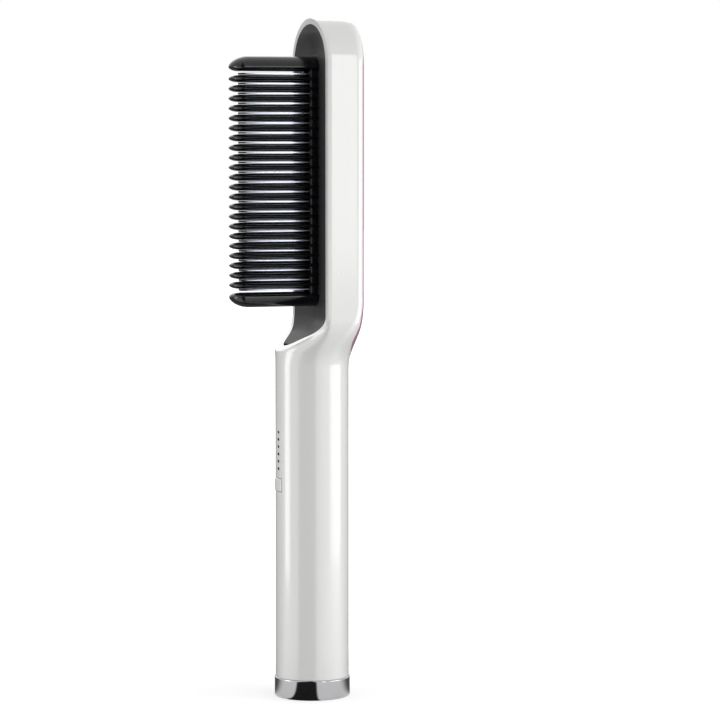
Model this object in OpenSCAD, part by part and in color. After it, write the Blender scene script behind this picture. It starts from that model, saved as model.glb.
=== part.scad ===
// Hot comb with a round handle, a flat heated comb head and a swivelling cord inlet.
// Millimetres, +Z up. The origin is on the handle's axis, at the level of the base.
// The teeth point to -Y and the coloured back points to +Y.

/* [Overall] */
// Height of the whole tool
overall_h = 285; // [230:1:345]
// Wall of the white housing
wall = 2.4; // [1.8:0.1:2.8]
// Gap between a piece and the pocket that it drops into
fit_gap = 0.1; // [0.05:0.01:0.2]

/* [Handle] */
// Diameter of the handle
handle_d = 30.8; // [29:0.2:37]
// Height at which the handle starts to swell into the head
neck_z = 138; // [115:1:146]

/* [Head] */
// Width of the head
head_w = 47.8; // [44:0.2:57]
// Distance from the handle's axis to the flat back of the head
head_back = 16; // [15.5:0.1:19]
// Distance from the handle's axis to the rim's plane, towards the teeth
rim_front = 0.9; // [0.5:0.1:2]
// Height of the rounded top end of the head
top_rise = 19.1; // [16:0.1:23]
// Radius of the edge between the back and the sides
back_edge_r = 4.1; // [2:0.1:6]
// Length over which the handle swells into the head
neck_len = 29; // [26:0.5:34]
// Radius of the hollow below the comb
scoop_r = 10; // [8:0.5:12]
// Slope of the scoop's lower end, from level
scoop_slope = 35; // [30:1:40]

/* [Back trim] */
// Width left white outside the coloured ring
ring_margin = 1.3; // [1.25:0.05:2]
// Width of the coloured ring
ring_w = 3.4; // [2.5:0.1:5]
// White line between the ring and the panel
ring_line = 0.7; // [0.5:0.1:1.5]
// Thickness of the ring and of the panel
trim_t = 1.2; // [0.8:0.1:1.4]

/* [Comb] */
// Distance from one blade to the next
blade_pitch = 4.08; // [3.9:0.02:4.9]
// Thickness of a blade at its middle
blade_t = 3.1; // [2.5:0.05:3.15]
// Width of a blade across the comb
blade_w = 14.8; // [12:0.2:16]
// Distance from the handle's axis to the blades' tips
blade_reach = 35.9; // [28:0.1:43]
// Thickness of an end guard
guard_t = 6.3; // [5:0.1:8]
// Thickness of a heated fin
fin_t = 0.7; // [0.5:0.05:0.75]
// Width of a heated fin across the comb
fin_w = 7; // [5:0.1:8.4]
// How far the fins stay behind the blades' tips
fin_guard = 4.4; // [3:0.1:8]
// Depth of the tray's valley under the rim
valley_depth = 2.4; // [1.5:0.1:3]
// Thickness of the tray
tray_t = 1.8; // [1.4:0.1:2.4]

/* [Controls] */
// Height of the button's middle
button_z = 89.9; // [80:0.5:94]
// Width of the button
button_w = 8.5; // [6:0.1:10]
// Height of the button
button_h = 5.6; // [4:0.1:7]
// Travel of the button
button_travel = 0.5; // [0.3:0.05:0.6]
// Number of temperature windows
window_count = 6; // [3:1:8]
// Distance from one window to the next
window_pitch = 3.07; // [2.8:0.01:3.6]
// Height of the lowest window
window_z = 96.8; // [96:0.1:104]
// Width of a window
window_w = 1.5; // [1:0.1:2]
// Height of a window
window_h = 0.9; // [0.6:0.1:1.2]

/* [Base] */
// Height of the dark ring at the foot
base_h = 8.4; // [7:0.1:11]
// How far the dark ring stands out from the handle
base_lip = 0.45; // [0.2:0.05:1]
// Radius of the cord's hole through the swivel
cord_hole_r = 3.1; // [2.6:0.1:3.6]
// Wall of the swivel round the cord's hole
swivel_wall = 1.4; // [1.2:0.1:2]
// Running clearance of the swivel in its bore
swivel_gap = 0.05; // [0.02:0.01:0.1]

/* [Hidden] */
$fn = 64;
fine = 240;
lens_fine = 120;
eps = 0.01;
far = 60;

handle_r = handle_d / 2;
bore_r = handle_r - wall;
head_r = head_w / 2;
spring_z = overall_h - top_rise;
neck_top = neck_z + neck_len;
flare_start = 2;
flare_z = neck_z + flare_start;
flare_len = neck_len * 0.655;
pinch_start = 8;
pinch_z = neck_z + pinch_start;
pinch_len = neck_len * 0.414;
front_depth = 6;
top_edge_r = 4;
least_corner_r = 1.2;
section_steps = 5;
front_steps = 12;
neck_rings = 11;
top_rings = 7;
top_last_angle = 84;
side_angle = 3;
front_angles = concat(
    [side_angle],
    [for (i = [1 : front_steps - 1]) 180 * i / front_steps],
    [180 - side_angle]);

// Smooth step from 0 to 1
function ease(s) = let (c = min(max(s, 0), 1)) c * c * (3 - 2 * c);
function mix(a, b, t) = a + (b - a) * t;

// Half-width, depths and corner radius of the head at one height, inside a wall of thickness w
function swell(z) = ease((z - flare_z) / flare_len);
function pinch(z) = ease((z - pinch_z) / pinch_len);
function top_part(z, w) = (z - spring_z) / (top_rise - w);
function half_width(z, w) = z < spring_z
    ? mix(handle_r, head_r, swell(z)) - w
    : (head_r - w) * sqrt(max(1 - pow(top_part(z, w), 2), 0));
function top_round(z, w) = let (r = top_edge_r - w * 0.5, over = z - (overall_h - w - r))
    over <= 0 ? 0 : r - sqrt(max(r * r - over * over, 0));
function back_depth(z, w) = mix(handle_r, head_back, ease((z - neck_z) / neck_len)) - w - top_round(z, w);
function front_reach(z, w) = mix(handle_r, front_depth, pinch(z)) - w * (1 - pinch(z) * 0.6);
function corner_r(z, w) = min(
    max(mix(handle_r, back_edge_r, ease((z - neck_z) / neck_len)) - w, least_corner_r),
    half_width(z, w));
function pinch_power(z) = 1 + 0.5 * sqrt(pinch(z));
function side_x(z, y, w) = y >= 0
    ? half_width(z, w)
    : half_width(z, w) * pow(sqrt(max(1 - pow(y / front_reach(z, w), 2), 0)), pinch_power(z));

// Points round the head at one height: the right back corner, the left one, then the front. drop lowers them
function head_ring(z, w, drop = 0) = let (
    hw = half_width(z, w),
    r = corner_r(z, w),
    cy = back_depth(z, w) - r)
    concat(
        [for (i = [0 : section_steps])
            [hw - r + r * cos(90 * i / section_steps), cy + r * sin(90 * i / section_steps), z - drop]],
        [for (i = [0 : section_steps])
            [r - hw - r * sin(90 * i / section_steps), cy + r * cos(90 * i / section_steps), z - drop]],
        [for (a = front_angles) let (c = cos(a))
            [-sign(c) * hw * pow(abs(c), pinch_power(z)), -front_reach(z, w) * sin(a), z - drop]]);

// Skin through a list of equal rings; each end is closed by a strip from the ring's first half to its second
module loft(rings) {
    n = len(rings[0]);
    m = len(rings);
    last = (m - 1) * n;
    sides = [for (k = [0 : m - 2]) for (i = [0 : n - 1]) let (j = (i + 1) % n)
        each [[k * n + i, (k + 1) * n + i, k * n + j], [k * n + j, (k + 1) * n + i, (k + 1) * n + j]]];
    strip = [for (i = [0 : floor(n / 2) - 1]) let (a = i, b = i + 1, c = n - 2 - i, d = n - 1 - i)
        each b < c ? [[a, b, d], [b, c, d]] : b == c ? [[a, b, d]] : []];
    top = [for (t = strip) [last + t[2], last + t[1], last + t[0]]];
    polyhedron([for (ring = rings) each ring], concat(strip, sides, top));
}

function head_levels(w) = concat(
    [for (i = [1 : neck_rings]) neck_z + neck_len * i / neck_rings],
    [for (i = [0 : top_rings]) spring_z + (top_rise - w) * sin(top_last_angle * i / top_rings)]);

// The two lowest rings tuck just inside the tube that they join
tuck_in = [0.1, 0.02];
tuck_drop = [0.6, 0];
module head_form(w) {
    loft(concat(
        [for (i = [0, 1]) head_ring(neck_z, w + tuck_in[i], tuck_drop[i])],
        [for (z = head_levels(w)) head_ring(z, w)]));
}

// The hollow in front of the rim: straight, then an arc, then a slope out through the handle
scoop_turn = 90 - scoop_slope;
scoop_rise = 23.5;
scoop_top = neck_z + scoop_rise;
scoop_cy = -rim_front - scoop_r;
scoop_end = [scoop_cy + scoop_r * cos(scoop_turn), scoop_top - scoop_r * sin(scoop_turn)];
function scoop_y(z) = z >= scoop_top ? -rim_front
    : z >= scoop_end[1] ? scoop_cy + sqrt(scoop_r * scoop_r - pow(z - scoop_top, 2))
    : scoop_end[0] - (scoop_end[1] - z) / tan(scoop_slope);

module scoop_cut() {
    run = far - scoop_end[0];
    rotate([90, 0, 90])
        translate([0, 0, -far])
            linear_extrude(2 * far)
                union() {
                    polygon([
                        [-rim_front, overall_h + far],
                        [-rim_front, scoop_top],
                        [scoop_cy, scoop_top],
                        scoop_end,
                        [scoop_end[0] - run, scoop_end[1] - run * tan(scoop_slope)],
                        [scoop_end[0] - run, overall_h + far]]);
                    intersection() {
                        translate([scoop_cy, scoop_top])
                            circle(scoop_r);
                        polygon([
                            [scoop_cy, scoop_top],
                            [-rim_front + 1, scoop_top],
                            [-rim_front + 1, scoop_end[1]],
                            scoop_end]);
                    }
                }
}

// Outlines seen from the back, as [x, z]
function arch_points(half, rise_low, rise_high, low, high, steps = 16) = concat(
    [for (i = [0 : steps]) let (a = 180 * i / steps) [half * cos(a), high - rise_high + rise_high * sin(a)]],
    [for (i = [0 : steps]) let (a = 180 + 180 * i / steps) [half * cos(a), low + rise_low + rise_low * sin(a)]]);

ring_start = 5.3;
ring_half = head_r - ring_margin;
ring_low = neck_z + ring_start;
ring_high = overall_h - ring_margin;
ring_rise = 19.7;
ring_from = 6;
panel_edge = ring_w + ring_line;
panel_half = ring_half - panel_edge;
panel_low = ring_low + panel_edge + 1;
panel_high = ring_high - panel_edge - 2;

module back_prism(grow, half, rise, low, high, from, to) {
    translate([0, to, 0])
        rotate([90, 0, 0])
            linear_extrude(to - from)
                polygon(arch_points(half + grow, rise + grow, rise + grow, low - grow, high + grow));
}

module ring_prism(grow, from = ring_from, to = far) {
    back_prism(grow, ring_half, ring_rise, ring_low, ring_high, from, to);
}

module ring_hole_prism(grow, from = ring_from, to = far) {
    back_prism(grow, panel_half + ring_line, panel_half + ring_line,
        panel_low - ring_line, panel_high + ring_line, from, to);
}

module panel_prism(grow, from = ring_from, to = far) {
    back_prism(grow, panel_half, panel_half, panel_low, panel_high, from, to);
}

// Screws that hold the tray, driven from the back and hidden by the panel
tray_screw_low = 7.5;
tray_screw_high = 5;
tray_screw_z = [panel_low + tray_screw_low, panel_high - tray_screw_high];
tray_boss_r = 2.6;
tray_screw_r = 1.1;
tray_screw_bite = 6;
tray_head_r = 2;
tray_head_h = 1.2;
tray_well_r = 3.4;
tray_well_depth = 3.4;
tray_well_y = head_back - trim_t - tray_well_depth;
tray_seat_y = tray_well_y + 1;

module along_y(r, from, to) {
    translate([0, to, 0])
        rotate([90, 0, 0])
            cylinder(r = r, h = to - from);
}

module window_places() {
    for (i = [0 : window_count - 1])
        translate([window_x, 0, window_z + i * window_pitch])
            children();
}

window_x = 1.4;

// A screw along Z with its head at the top and a crossed slot in the head
slot_w = 0.5;
slot_depth = 0.6;
module screw(r, len, head_r, head_h) {
    cylinder(r = r, h = len);
    translate([0, 0, len])
        difference() {
            cylinder(r = head_r, h = head_h);
            for (turn = [0, 90])
                rotate(turn)
                    translate([-head_r * 0.7, -slot_w / 2, head_h - slot_depth])
                        cube([head_r * 1.4, slot_w, slot_depth + 1]);
        }
}

module screw_along_y(r, from, to, head_r, head_h) {
    translate([0, from, 0])
        rotate([-90, 0, 0])
            screw(r, to - from, head_r, head_h);
}

// White shell: handle tube and hollow head in one moulding
module housing() {
    color("white")
        difference() {
            union() {
                difference() {
                    union() {
                        translate([0, 0, base_h])
                            cylinder(r = handle_r, h = neck_z - base_h);
                        head_form(0);
                    }
                    scoop_cut();
                    head_form(wall);
                    translate([0, 0, base_h - 1])
                        cylinder(r = bore_r, h = neck_z - base_h + 1);
                }
                for (z = tray_screw_z)
                    translate([0, 0, z])
                        along_y(tray_well_r, tray_well_y, head_back - wall / 2);
            }
            difference() {
                ring_prism(0);
                ring_hole_prism(0);
                head_form(trim_t);
            }
            panel_prism(0, head_back - trim_t);
            for (z = tray_screw_z)
                translate([0, 0, z]) {
                    along_y(tray_screw_r + fit_gap, tray_well_y - 1, head_back);
                    along_y(tray_head_r + 2 * fit_gap, tray_seat_y, head_back);
                }
            translate([-button_w / 2 - fit_gap, -handle_r - 1, button_z - button_h / 2 - fit_gap])
                cube([button_w + 2 * fit_gap, wall + 4, button_h + 2 * fit_gap]);
            window_places()
                translate([-window_w / 2 - fit_gap, -handle_r - 1, -window_h / 2 - fit_gap])
                    cube([window_w + 2 * fit_gap, wall + 2, window_h + 2 * fit_gap]);
        }
}

// Coloured ring, laid into the rounded edge of the back
module trim_ring() {
    color([0.69, 0.42, 0.57])
        difference() {
            intersection() {
                head_form(0);
                ring_prism(-fit_gap);
            }
            ring_hole_prism(fit_gap);
            head_form(trim_t);
        }
}

// Satin panel inside the ring, over the tray's screws
module back_panel() {
    color([0.72, 0.73, 0.75])
        intersection() {
            head_form(0);
            panel_prism(-fit_gap, head_back - trim_t);
        }
}

// Tray: a thin dish that follows the scoop, with a shallow valley down its middle
tray_gap = 0.2;
tray_wall = wall + tray_gap;
tray_rings = 9;
valley_steps = 8;
function tray_half(z) = side_x(z, scoop_y(z), tray_wall);
function tray_depth(z) = z >= scoop_top ? tray_t
    : tray_t / cos(asin(min((scoop_top - z) / scoop_r, sin(scoop_turn))));
function valley(z) = valley_depth * ease((tray_half(z) / (head_r - tray_wall) - 0.6) / 0.36);
tray_low = min([for (z = [neck_z : 0.1 : scoop_top])
    if (-scoop_y(z) < 0.97 * front_reach(z, tray_wall)) z]);
tray_top_rise = top_rise - tray_wall;
tray_levels = concat(
    [for (i = [0 : tray_rings]) mix(tray_low, scoop_top + 3, pow(i / tray_rings, 1.3))],
    [for (i = [0 : top_rings]) spring_z + tray_top_rise * sin(top_last_angle * i / top_rings)]);

function tray_ring(z) = let (
    front = tray_half(z),
    back = side_x(z, scoop_y(z) + tray_depth(z), tray_wall),
    y0 = scoop_y(z),
    d = valley(z),
    us = [for (i = [0 : valley_steps]) 1 - 2 * i / valley_steps])
    concat(
        [for (i = [valley_steps : -1 : 0]) let (u = us[i])
            [front * u, y0 + d * (1 - pow(abs(u), 1.4)), z]],
        [for (i = [0 : valley_steps]) let (u = us[i])
            [back * u, y0 + tray_depth(z) + d * (1 - pow(abs(u), 1.4)), z]]);

// Comb, laid out over the straight part of the tray
comb_start = 3.2;
comb_over = 3.1;
comb_low = scoop_top + comb_start;
comb_room = spring_z + comb_over - comb_low;
fin_gap = blade_pitch - blade_t;
guard_step = blade_t / 2 + 1.5 * fin_gap + guard_t / 2;
blade_steps = floor((comb_room - 2 * guard_step - guard_t) / blade_pitch + 0.5);
comb_mid = comb_low + comb_room / 2;
comb_half = blade_steps * blade_pitch / 2 + guard_step + guard_t / 2;
guard_z = [comb_mid - comb_half + guard_t / 2, comb_mid + comb_half - guard_t / 2];
blade_z = [for (i = [0 : blade_steps]) comb_mid + (i - blade_steps / 2) * blade_pitch];
fin_z = [for (i = [0 : blade_steps + 1]) comb_mid + (i - (blade_steps + 1) / 2) * blade_pitch];
seat_depth = 0.4;
seat_margin = 0.3;
seat_y = -rim_front + valley_depth - seat_depth;
tray_back = -rim_front + valley_depth + tray_t;
rail_t = 3.4;
rail_front = seat_y - rail_t;
rail_side = 1.5;
rail_w = fin_w + 2 * rail_side;
window_half = fin_w / 2 + 0.4;

module tray_window() {
    translate([-window_half, -rim_front - 1, comb_mid - comb_half + guard_t])
        cube([2 * window_half, tray_back + rim_front + 2, 2 * (comb_half - guard_t)]);
}

module comb_tray() {
    color([0.24, 0.24, 0.25])
        difference() {
            union() {
                loft([for (z = tray_levels) tray_ring(z)]);
                translate([-blade_w / 2 - seat_margin, seat_y, comb_mid - comb_half - seat_margin])
                    cube([blade_w + 2 * seat_margin, tray_back - seat_y, 2 * (comb_half + seat_margin)]);
                for (z = tray_screw_z)
                    translate([0, 0, z])
                        along_y(tray_boss_r, scoop_y(z) + valley(z) + 0.6, tray_well_y);
            }
            tray_window();
            for (z = tray_screw_z)
                translate([0, 0, z])
                    along_y(tray_screw_r, tray_well_y - tray_screw_bite - 1, tray_well_y + 1);
            for (z = guard_z)
                translate([0, 0, z])
                    along_y(clamp_screw_r + fit_gap, rail_front, tray_back + 1);
        }
}

// One blade of the comb: lens-shaped across, with a leaf's tip and a root that narrows to the tray
lens_r = (pow(blade_w / 2, 2) + pow(blade_t / 2, 2)) / blade_t;
nose_r = blade_w * 0.61;
side_round = blade_w * 0.62;
guard_side = guard_t - blade_t / 2;
tip_z = -0.5;
root_half = 0.6;
// How far each corner of a tip lies behind its point, and its share of the full height there
blade_tip = [[4, 1], [2, 0.76], [0.7, 0.42], [0, 0.14]];
guard_tip = [[8.4, 1], [4.5, 0.78], [2.1, 0.49], [0.7, 0.22], [0, 0.06]];

module lens_section() {
    intersection_for (side = [-1, 1])
        translate([0, side * (lens_r - blade_t / 2)])
            circle(lens_r, $fn = lens_fine);
}

module guard_section() {
    union() {
        intersection() {
            translate([0, blade_t / 2 - lens_r])
                circle(lens_r, $fn = lens_fine);
            translate([-blade_w / 2, 0])
                square([blade_w, blade_t]);
        }
        intersection() {
            translate([-blade_w / 2, -guard_side])
                square([blade_w, guard_side]);
            translate([0, side_round - guard_side])
                circle(side_round, $fn = lens_fine);
        }
    }
}

module blade_plan() {
    nose_y = nose_r - blade_reach;
    union() {
        intersection() {
            translate([0, nose_y])
                circle(nose_r, $fn = lens_fine);
            translate([-blade_w / 2, -blade_reach])
                square([blade_w, nose_r]);
        }
        translate([-blade_w / 2, nose_y - eps])
            square([blade_w, seat_y - nose_y + eps]);
    }
}

// Half of a blade's outline seen from the side, from the root to the tip
function tip_points(mid, height, shares) = [for (s = shares) [s[0] - blade_reach, mid + s[1] * height]];
function root_points(height) = [
    [seat_y + 1, sign(height) * root_half],
    [seat_y, sign(height) * root_half],
    [rail_front - 1, height]];
function turned(points) = [for (i = [len(points) - 1 : -1 : 0]) points[i]];

module cut_to_shape(low, high, outline) {
    intersection() {
        rotate([90, 0, 0])
            linear_extrude(blade_reach + 1)
                children();
        translate([0, 0, low - 1])
            linear_extrude(high - low + 2)
                blade_plan();
        rotate([90, 0, 90])
            translate([0, 0, -blade_w])
                linear_extrude(2 * blade_w)
                    polygon(outline);
    }
}

// Plastic comb: slim blades between two end guards, on a slotted rail
module comb_guard() {
    color([0.11, 0.11, 0.13])
        difference() {
            union() {
                translate([-rail_w / 2, rail_front, guard_z[0]])
                    cube([rail_w, seat_y - rail_front, guard_z[1] - guard_z[0]]);
                for (z = blade_z)
                    translate([0, 0, z])
                        blade_body();
                translate([0, 0, guard_z[0]])
                    guard_body();
                translate([0, 0, guard_z[1]])
                    mirror([0, 0, 1])
                        guard_body();
            }
            for (z = fin_z)
                translate([-fin_w / 2 - 0.2, rail_front - 1, z - fin_gap / 2])
                    cube([fin_w + 0.4, seat_y - rail_front + 2, fin_gap]);
            for (z = guard_z)
                translate([0, 0, z])
                    along_y(clamp_screw_r, rail_front + 0.8, seat_y + 1);
        }
}

module blade_body() {
    half = blade_t / 2;
    cut_to_shape(-half, half, concat(
        root_points(half), tip_points(0, half, blade_tip),
        turned(tip_points(0, -half, blade_tip)), turned(root_points(-half))))
        lens_section();
}

module guard_body() {
    half = blade_t / 2;
    translate([0, 0, guard_t / 2 - half])
        cut_to_shape(-guard_side, half, concat(
            root_points(half), tip_points(tip_z, half - tip_z, blade_tip),
            turned(tip_points(tip_z, -guard_side - tip_z, guard_tip)),
            [[seat_y + 1, -guard_side]]))
            guard_section();
}

// Heater: a finned bar behind the tray, with its elements clamped to the back
bar_front = tray_back + fit_gap;
bar_t = 3.6;
bar_back = bar_front + bar_t;
bar_half = 9.5;
fin_tip_len = 1.6;
fin_tip_side = 1.4;
bar_low = comb_mid - comb_half + 0.4;
bar_high = comb_mid + comb_half - 0.4;
fin_reach = blade_reach - fin_guard;
film_t = 0.2;
element_t = 2.5;
element_half = 5;
element_count = 2;
element_space = 2;
film_over = 0.4;
clamp_t = 0.8;
clamp_foot_half = 2.7;
clamp_foot_len = 7;
clamp_screw_r = 1;
clamp_head_r = 1.9;
clamp_front = bar_back + 2 * film_t + element_t;
element_low = bar_low + clamp_foot_len + 1;
element_high = bar_high - clamp_foot_len - 1;
element_len = (element_high - element_low - element_space) / element_count;
shield_gap = 0.5;
shield_y = clamp_front + clamp_t + shield_gap;
shield_t = 0.4;
shield_half = 14;
sensor_x = -7.2;
sensor_r = 1.3;
sensor_z = element_low + 6;
fuse_x = 7.4;
fuse_r = 1.6;
fuse_z = element_low + 30;
fuse_len = 11;

module heating_fins() {
    color([0.80, 0.82, 0.86])
        difference() {
            union() {
                translate([-bar_half, bar_front, bar_low])
                    cube([2 * bar_half, bar_t, bar_high - bar_low]);
                for (z = fin_z)
                    translate([0, 0, z - fin_t / 2])
                        linear_extrude(fin_t)
                            polygon([
                                [-fin_w / 2, bar_front + 0.5],
                                [fin_w / 2, bar_front + 0.5],
                                [fin_w / 2, -fin_reach + fin_tip_len],
                                [fin_w / 2 - fin_tip_side, -fin_reach],
                                [fin_tip_side - fin_w / 2, -fin_reach],
                                [-fin_w / 2, -fin_reach + fin_tip_len]]);
            }
            for (z = guard_z)
                translate([0, 0, z])
                    along_y(clamp_screw_r + fit_gap, bar_front - 1, bar_back + 1);
        }
}

module insulating_film() {
    color([0.85, 0.55, 0.15])
        for (y = [bar_back, bar_back + film_t + element_t])
            translate([-element_half - film_over, y, element_low - film_over])
                cube([2 * (element_half + film_over), film_t, element_high - element_low + 2 * film_over]);
}

module ceramic_heaters() {
    color([0.45, 0.47, 0.50])
        for (i = [0 : element_count - 1])
            translate([-element_half, bar_back + film_t, element_low + i * (element_len + element_space)])
                cube([2 * element_half, element_t, element_len]);
}

module heater_clamp() {
    color([0.70, 0.71, 0.72])
        difference() {
            union() {
                translate([-element_half, clamp_front, bar_low])
                    cube([2 * element_half, clamp_t, bar_high - bar_low]);
                for (z = [bar_low, bar_high - clamp_foot_len])
                    translate([-clamp_foot_half, bar_back, z])
                        cube([2 * clamp_foot_half, clamp_front - bar_back, clamp_foot_len]);
            }
            for (z = guard_z)
                translate([0, 0, z])
                    along_y(clamp_screw_r + fit_gap, bar_back - 1, clamp_front + clamp_t + 1);
        }
}

module clamp_screws() {
    color([0.62, 0.63, 0.65])
        for (z = guard_z)
            translate([0, 0, z])
                screw_along_y(clamp_screw_r, rail_front + 1, clamp_front + clamp_t, clamp_head_r, 1);
}

module heat_shield() {
    color([0.78, 0.78, 0.76])
        difference() {
            translate([-shield_half, shield_y, bar_low + 2])
                cube([2 * shield_half, shield_t, bar_high - bar_low - 4]);
            for (z = guard_z)
                translate([0, 0, z])
                    along_y(clamp_head_r + 0.7, shield_y - 1, shield_y + 2);
        }
}

module thermal_fuse() {
    color([0.90, 0.88, 0.80])
        translate([fuse_x, bar_back + fuse_r, fuse_z])
            cylinder(r = fuse_r, h = fuse_len);
}

module thermistor() {
    color([0.12, 0.10, 0.10])
        translate([sensor_x, bar_back + sensor_r, sensor_z])
            union() {
                cylinder(r = sensor_r, h = 3 * sensor_r);
                translate([0, 0, 3 * sensor_r])
                    sphere(r = sensor_r);
            }
}

module tray_screws() {
    color([0.62, 0.63, 0.65])
        for (z = tray_screw_z)
            translate([0, 0, z])
                screw_along_y(tray_screw_r, tray_well_y - tray_screw_bite, tray_seat_y,
                    tray_head_r, tray_head_h);
}

// Button, pressed towards +Y through the front of the handle
cap_proud = 0.3;
cap_lip = 1;
cap_side_gap = 0.15;
flange_y = -sqrt(bore_r * bore_r - pow(button_w / 2 + cap_lip, 2)) + 0.3;
flange_t = 1;
stem_len = 0.8;
stem_r = 1.4;
stem_end = flange_y + flange_t + stem_len;
switch_top = stem_end + button_travel + 0.1;
switch_knob = 0.8;
switch_knob_r = 1.7;
switch_h = 3.4;
switch_side = 6;
board_front = switch_top + switch_knob + switch_h;
board_t = 1.6;
board_back = board_front + board_t;
board_half = 8.5;
board_below = 36;
board_above = 10;
board_low = button_z - board_below;
board_high = window_z + (window_count - 1) * window_pitch + board_above;
board_screw_r = 0.9;
board_head_r = 1.7;
board_head_h = 0.9;
stand_off = 5.4;
stand_off_r = 1.9;
lead_r = 0.7;
lead_clear = 1.2;
chassis_front = max(board_back + stand_off, lead_r + lead_clear);
chassis_t = 1.6;
chassis_high = board_high + 4;

module button_cap() {
    cap_w = button_w - 2 * (cap_side_gap - fit_gap);
    cap_h = button_h - 2 * (cap_side_gap - fit_gap);
    color([0.93, 0.93, 0.92])
        translate([0, 0, button_z])
            union() {
                intersection() {
                    translate([0, 0, -cap_h / 2])
                        cylinder(r = handle_r + cap_proud, h = cap_h);
                    translate([-cap_w / 2, -handle_r - 2, -cap_h / 2])
                        cube([cap_w, handle_r + 2 + flange_y + eps, cap_h]);
                }
                translate([-cap_w / 2 - cap_lip, flange_y, -cap_h / 2 - cap_lip])
                    cube([cap_w + 2 * cap_lip, flange_t, cap_h + 2 * cap_lip]);
                along_y(stem_r, flange_y + flange_t - eps, stem_end);
            }
}

module tact_switch() {
    color([0.15, 0.15, 0.16])
        translate([0, 0, button_z])
            union() {
                translate([-switch_side / 2, board_front - switch_h, -switch_side / 2])
                    cube([switch_side, switch_h, switch_side]);
                along_y(switch_knob_r, switch_top, board_front - switch_h + eps);
            }
}

// Clear guide: one finger in each window, flush with the handle
guide_front = -bore_r + 0.7;
guide_t = 1.5;
guide_back = guide_front + guide_t;
guide_half = window_w / 2 + 0.8;
guide_top = window_z + (window_count - 1) * window_pitch;
guide_leg = 0.8;
guide_end = 1.5;
lamp_w = 1.6;
lamp_h = 1.2;
lamp_t = 1.1;

module light_guide() {
    color([0.10, 0.10, 0.11])
        union() {
            intersection() {
                translate([0, 0, window_z - window_h])
                    cylinder(r = handle_r, h = guide_top - window_z + 2 * window_h);
                window_places()
                    translate([-window_w / 2, -handle_r - 1, -window_h / 2])
                        cube([window_w, handle_r + 1 + guide_back - 1, window_h]);
            }
            translate([window_x - guide_half, guide_front, window_z - guide_end])
                cube([2 * guide_half, guide_t, guide_top - window_z + 2 * guide_end]);
            for (z = [window_z - guide_end, guide_top + guide_end - guide_leg])
                translate([window_x - guide_half, guide_back - eps, z])
                    cube([2 * guide_half, board_front - guide_back + eps, guide_leg]);
        }
}

module indicator_lamps() {
    color([0.85, 0.25, 0.20])
        window_places()
            translate([-lamp_w / 2, board_front - lamp_t, -lamp_h / 2])
                cube([lamp_w, lamp_t, lamp_h]);
}

module board_corners() {
    for (x = [-board_half + 2.2, board_half - 2.2], z = [board_low + 3, board_high - 3])
        translate([x, 0, z])
            children();
}

module circuit_board() {
    color([0.10, 0.35, 0.20])
        difference() {
            translate([-board_half, board_front, board_low])
                cube([2 * board_half, board_t, board_high - board_low]);
            board_corners()
                along_y(board_screw_r + fit_gap, board_front - 1, board_back + 1);
        }
}

module board_screws() {
    color([0.62, 0.63, 0.65])
        board_corners()
            mirror([0, 1, 0])
                screw_along_y(board_screw_r, -chassis_front - 1, -board_front, board_head_r, board_head_h);
}

// Parts on the board: the chip and the can in front, the rest behind
chip_side = 6;
chip_t = 1.3;
chip_legs = 5;
leg_out = 0.8;
leg_t = 0.4;
leg_w = 0.5;

module controller_chip() {
    leg_pitch = chip_side / chip_legs;
    color([0.08, 0.08, 0.09])
        translate([-chip_side / 2, board_front - chip_t, board_low + 18]) {
            cube([chip_side, chip_t, chip_side]);
            for (i = [0 : chip_legs - 1])
                translate([-leg_out, chip_t - leg_t, (i + 0.5) * leg_pitch - leg_w / 2])
                    cube([chip_side + 2 * leg_out, leg_t, leg_w]);
        }
}

module triac() {
    body = [10, 4.2, 9];
    tab = [10, 1.2, 5];
    color([0.14, 0.14, 0.15])
        translate([-body[0] / 2, board_back, board_low + 8])
            union() {
                cube(body);
                translate([0, 0, body[2]])
                    cube(tab);
            }
}

module film_capacitor() {
    box = [12, 5, 13];
    color([0.80, 0.70, 0.20])
        translate([-box[0] / 2, board_back, board_low + 28])
            cube(box);
}

module smoothing_capacitor() {
    can_r = 2.5;
    can_len = 10;
    rim = 0.5;
    color([0.18, 0.20, 0.35])
        translate([board_half - can_r - 1, board_front - can_r, board_low + 6])
            union() {
                cylinder(r = can_r, h = can_len);
                translate([0, 0, -rim])
                    cylinder(r = can_r - rim, h = can_len + 2 * rim);
            }
}

// Sizes of the foot and of the swivelling cord inlet
ring_r = handle_r + base_lip;
spigot_t = 1.75;
cap_r = bore_r - 0.9;
cap_low = 1;
cap_high = base_h - 0.4;
swivel_r = cord_hole_r + swivel_wall;
flange_r = swivel_r + 2.1;
flange_high = cap_low + 2;
groove_r = swivel_r - 0.5;
groove_z = cap_high + 0.2;
clip_t = 0.8;
clip_play = 0.02;
slip_ring_t = 0.7;
slip_ring_h = 1.5;
slip_ring_lift = 0.6;
slip_ring_pitch = 2.6;
boss_at = bore_r - 3.8;
foot_screw_r = 1.2;
foot_head_r = 2.1;
foot_head_h = 1.4;
foot_seat_z = cap_low + 2;
foot_boss_r = 2.6;

// Frame that carries the board, standing on the contact carrier
carrier_low = base_h + 5.6;
carrier_t = 1.4;
carrier_high = carrier_low + carrier_t;
slip_ring_z = [carrier_high + slip_ring_lift, carrier_high + slip_ring_lift + slip_ring_pitch];
spindle_high = slip_ring_z[1] + slip_ring_h + 0.9;
chassis_half = sqrt(pow(bore_r - 0.4, 2) - pow(chassis_front + chassis_t, 2));
leg_in = swivel_r + 2.4;
frame_hole_r = 4;
frame_hole_pitch = 16;

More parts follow.
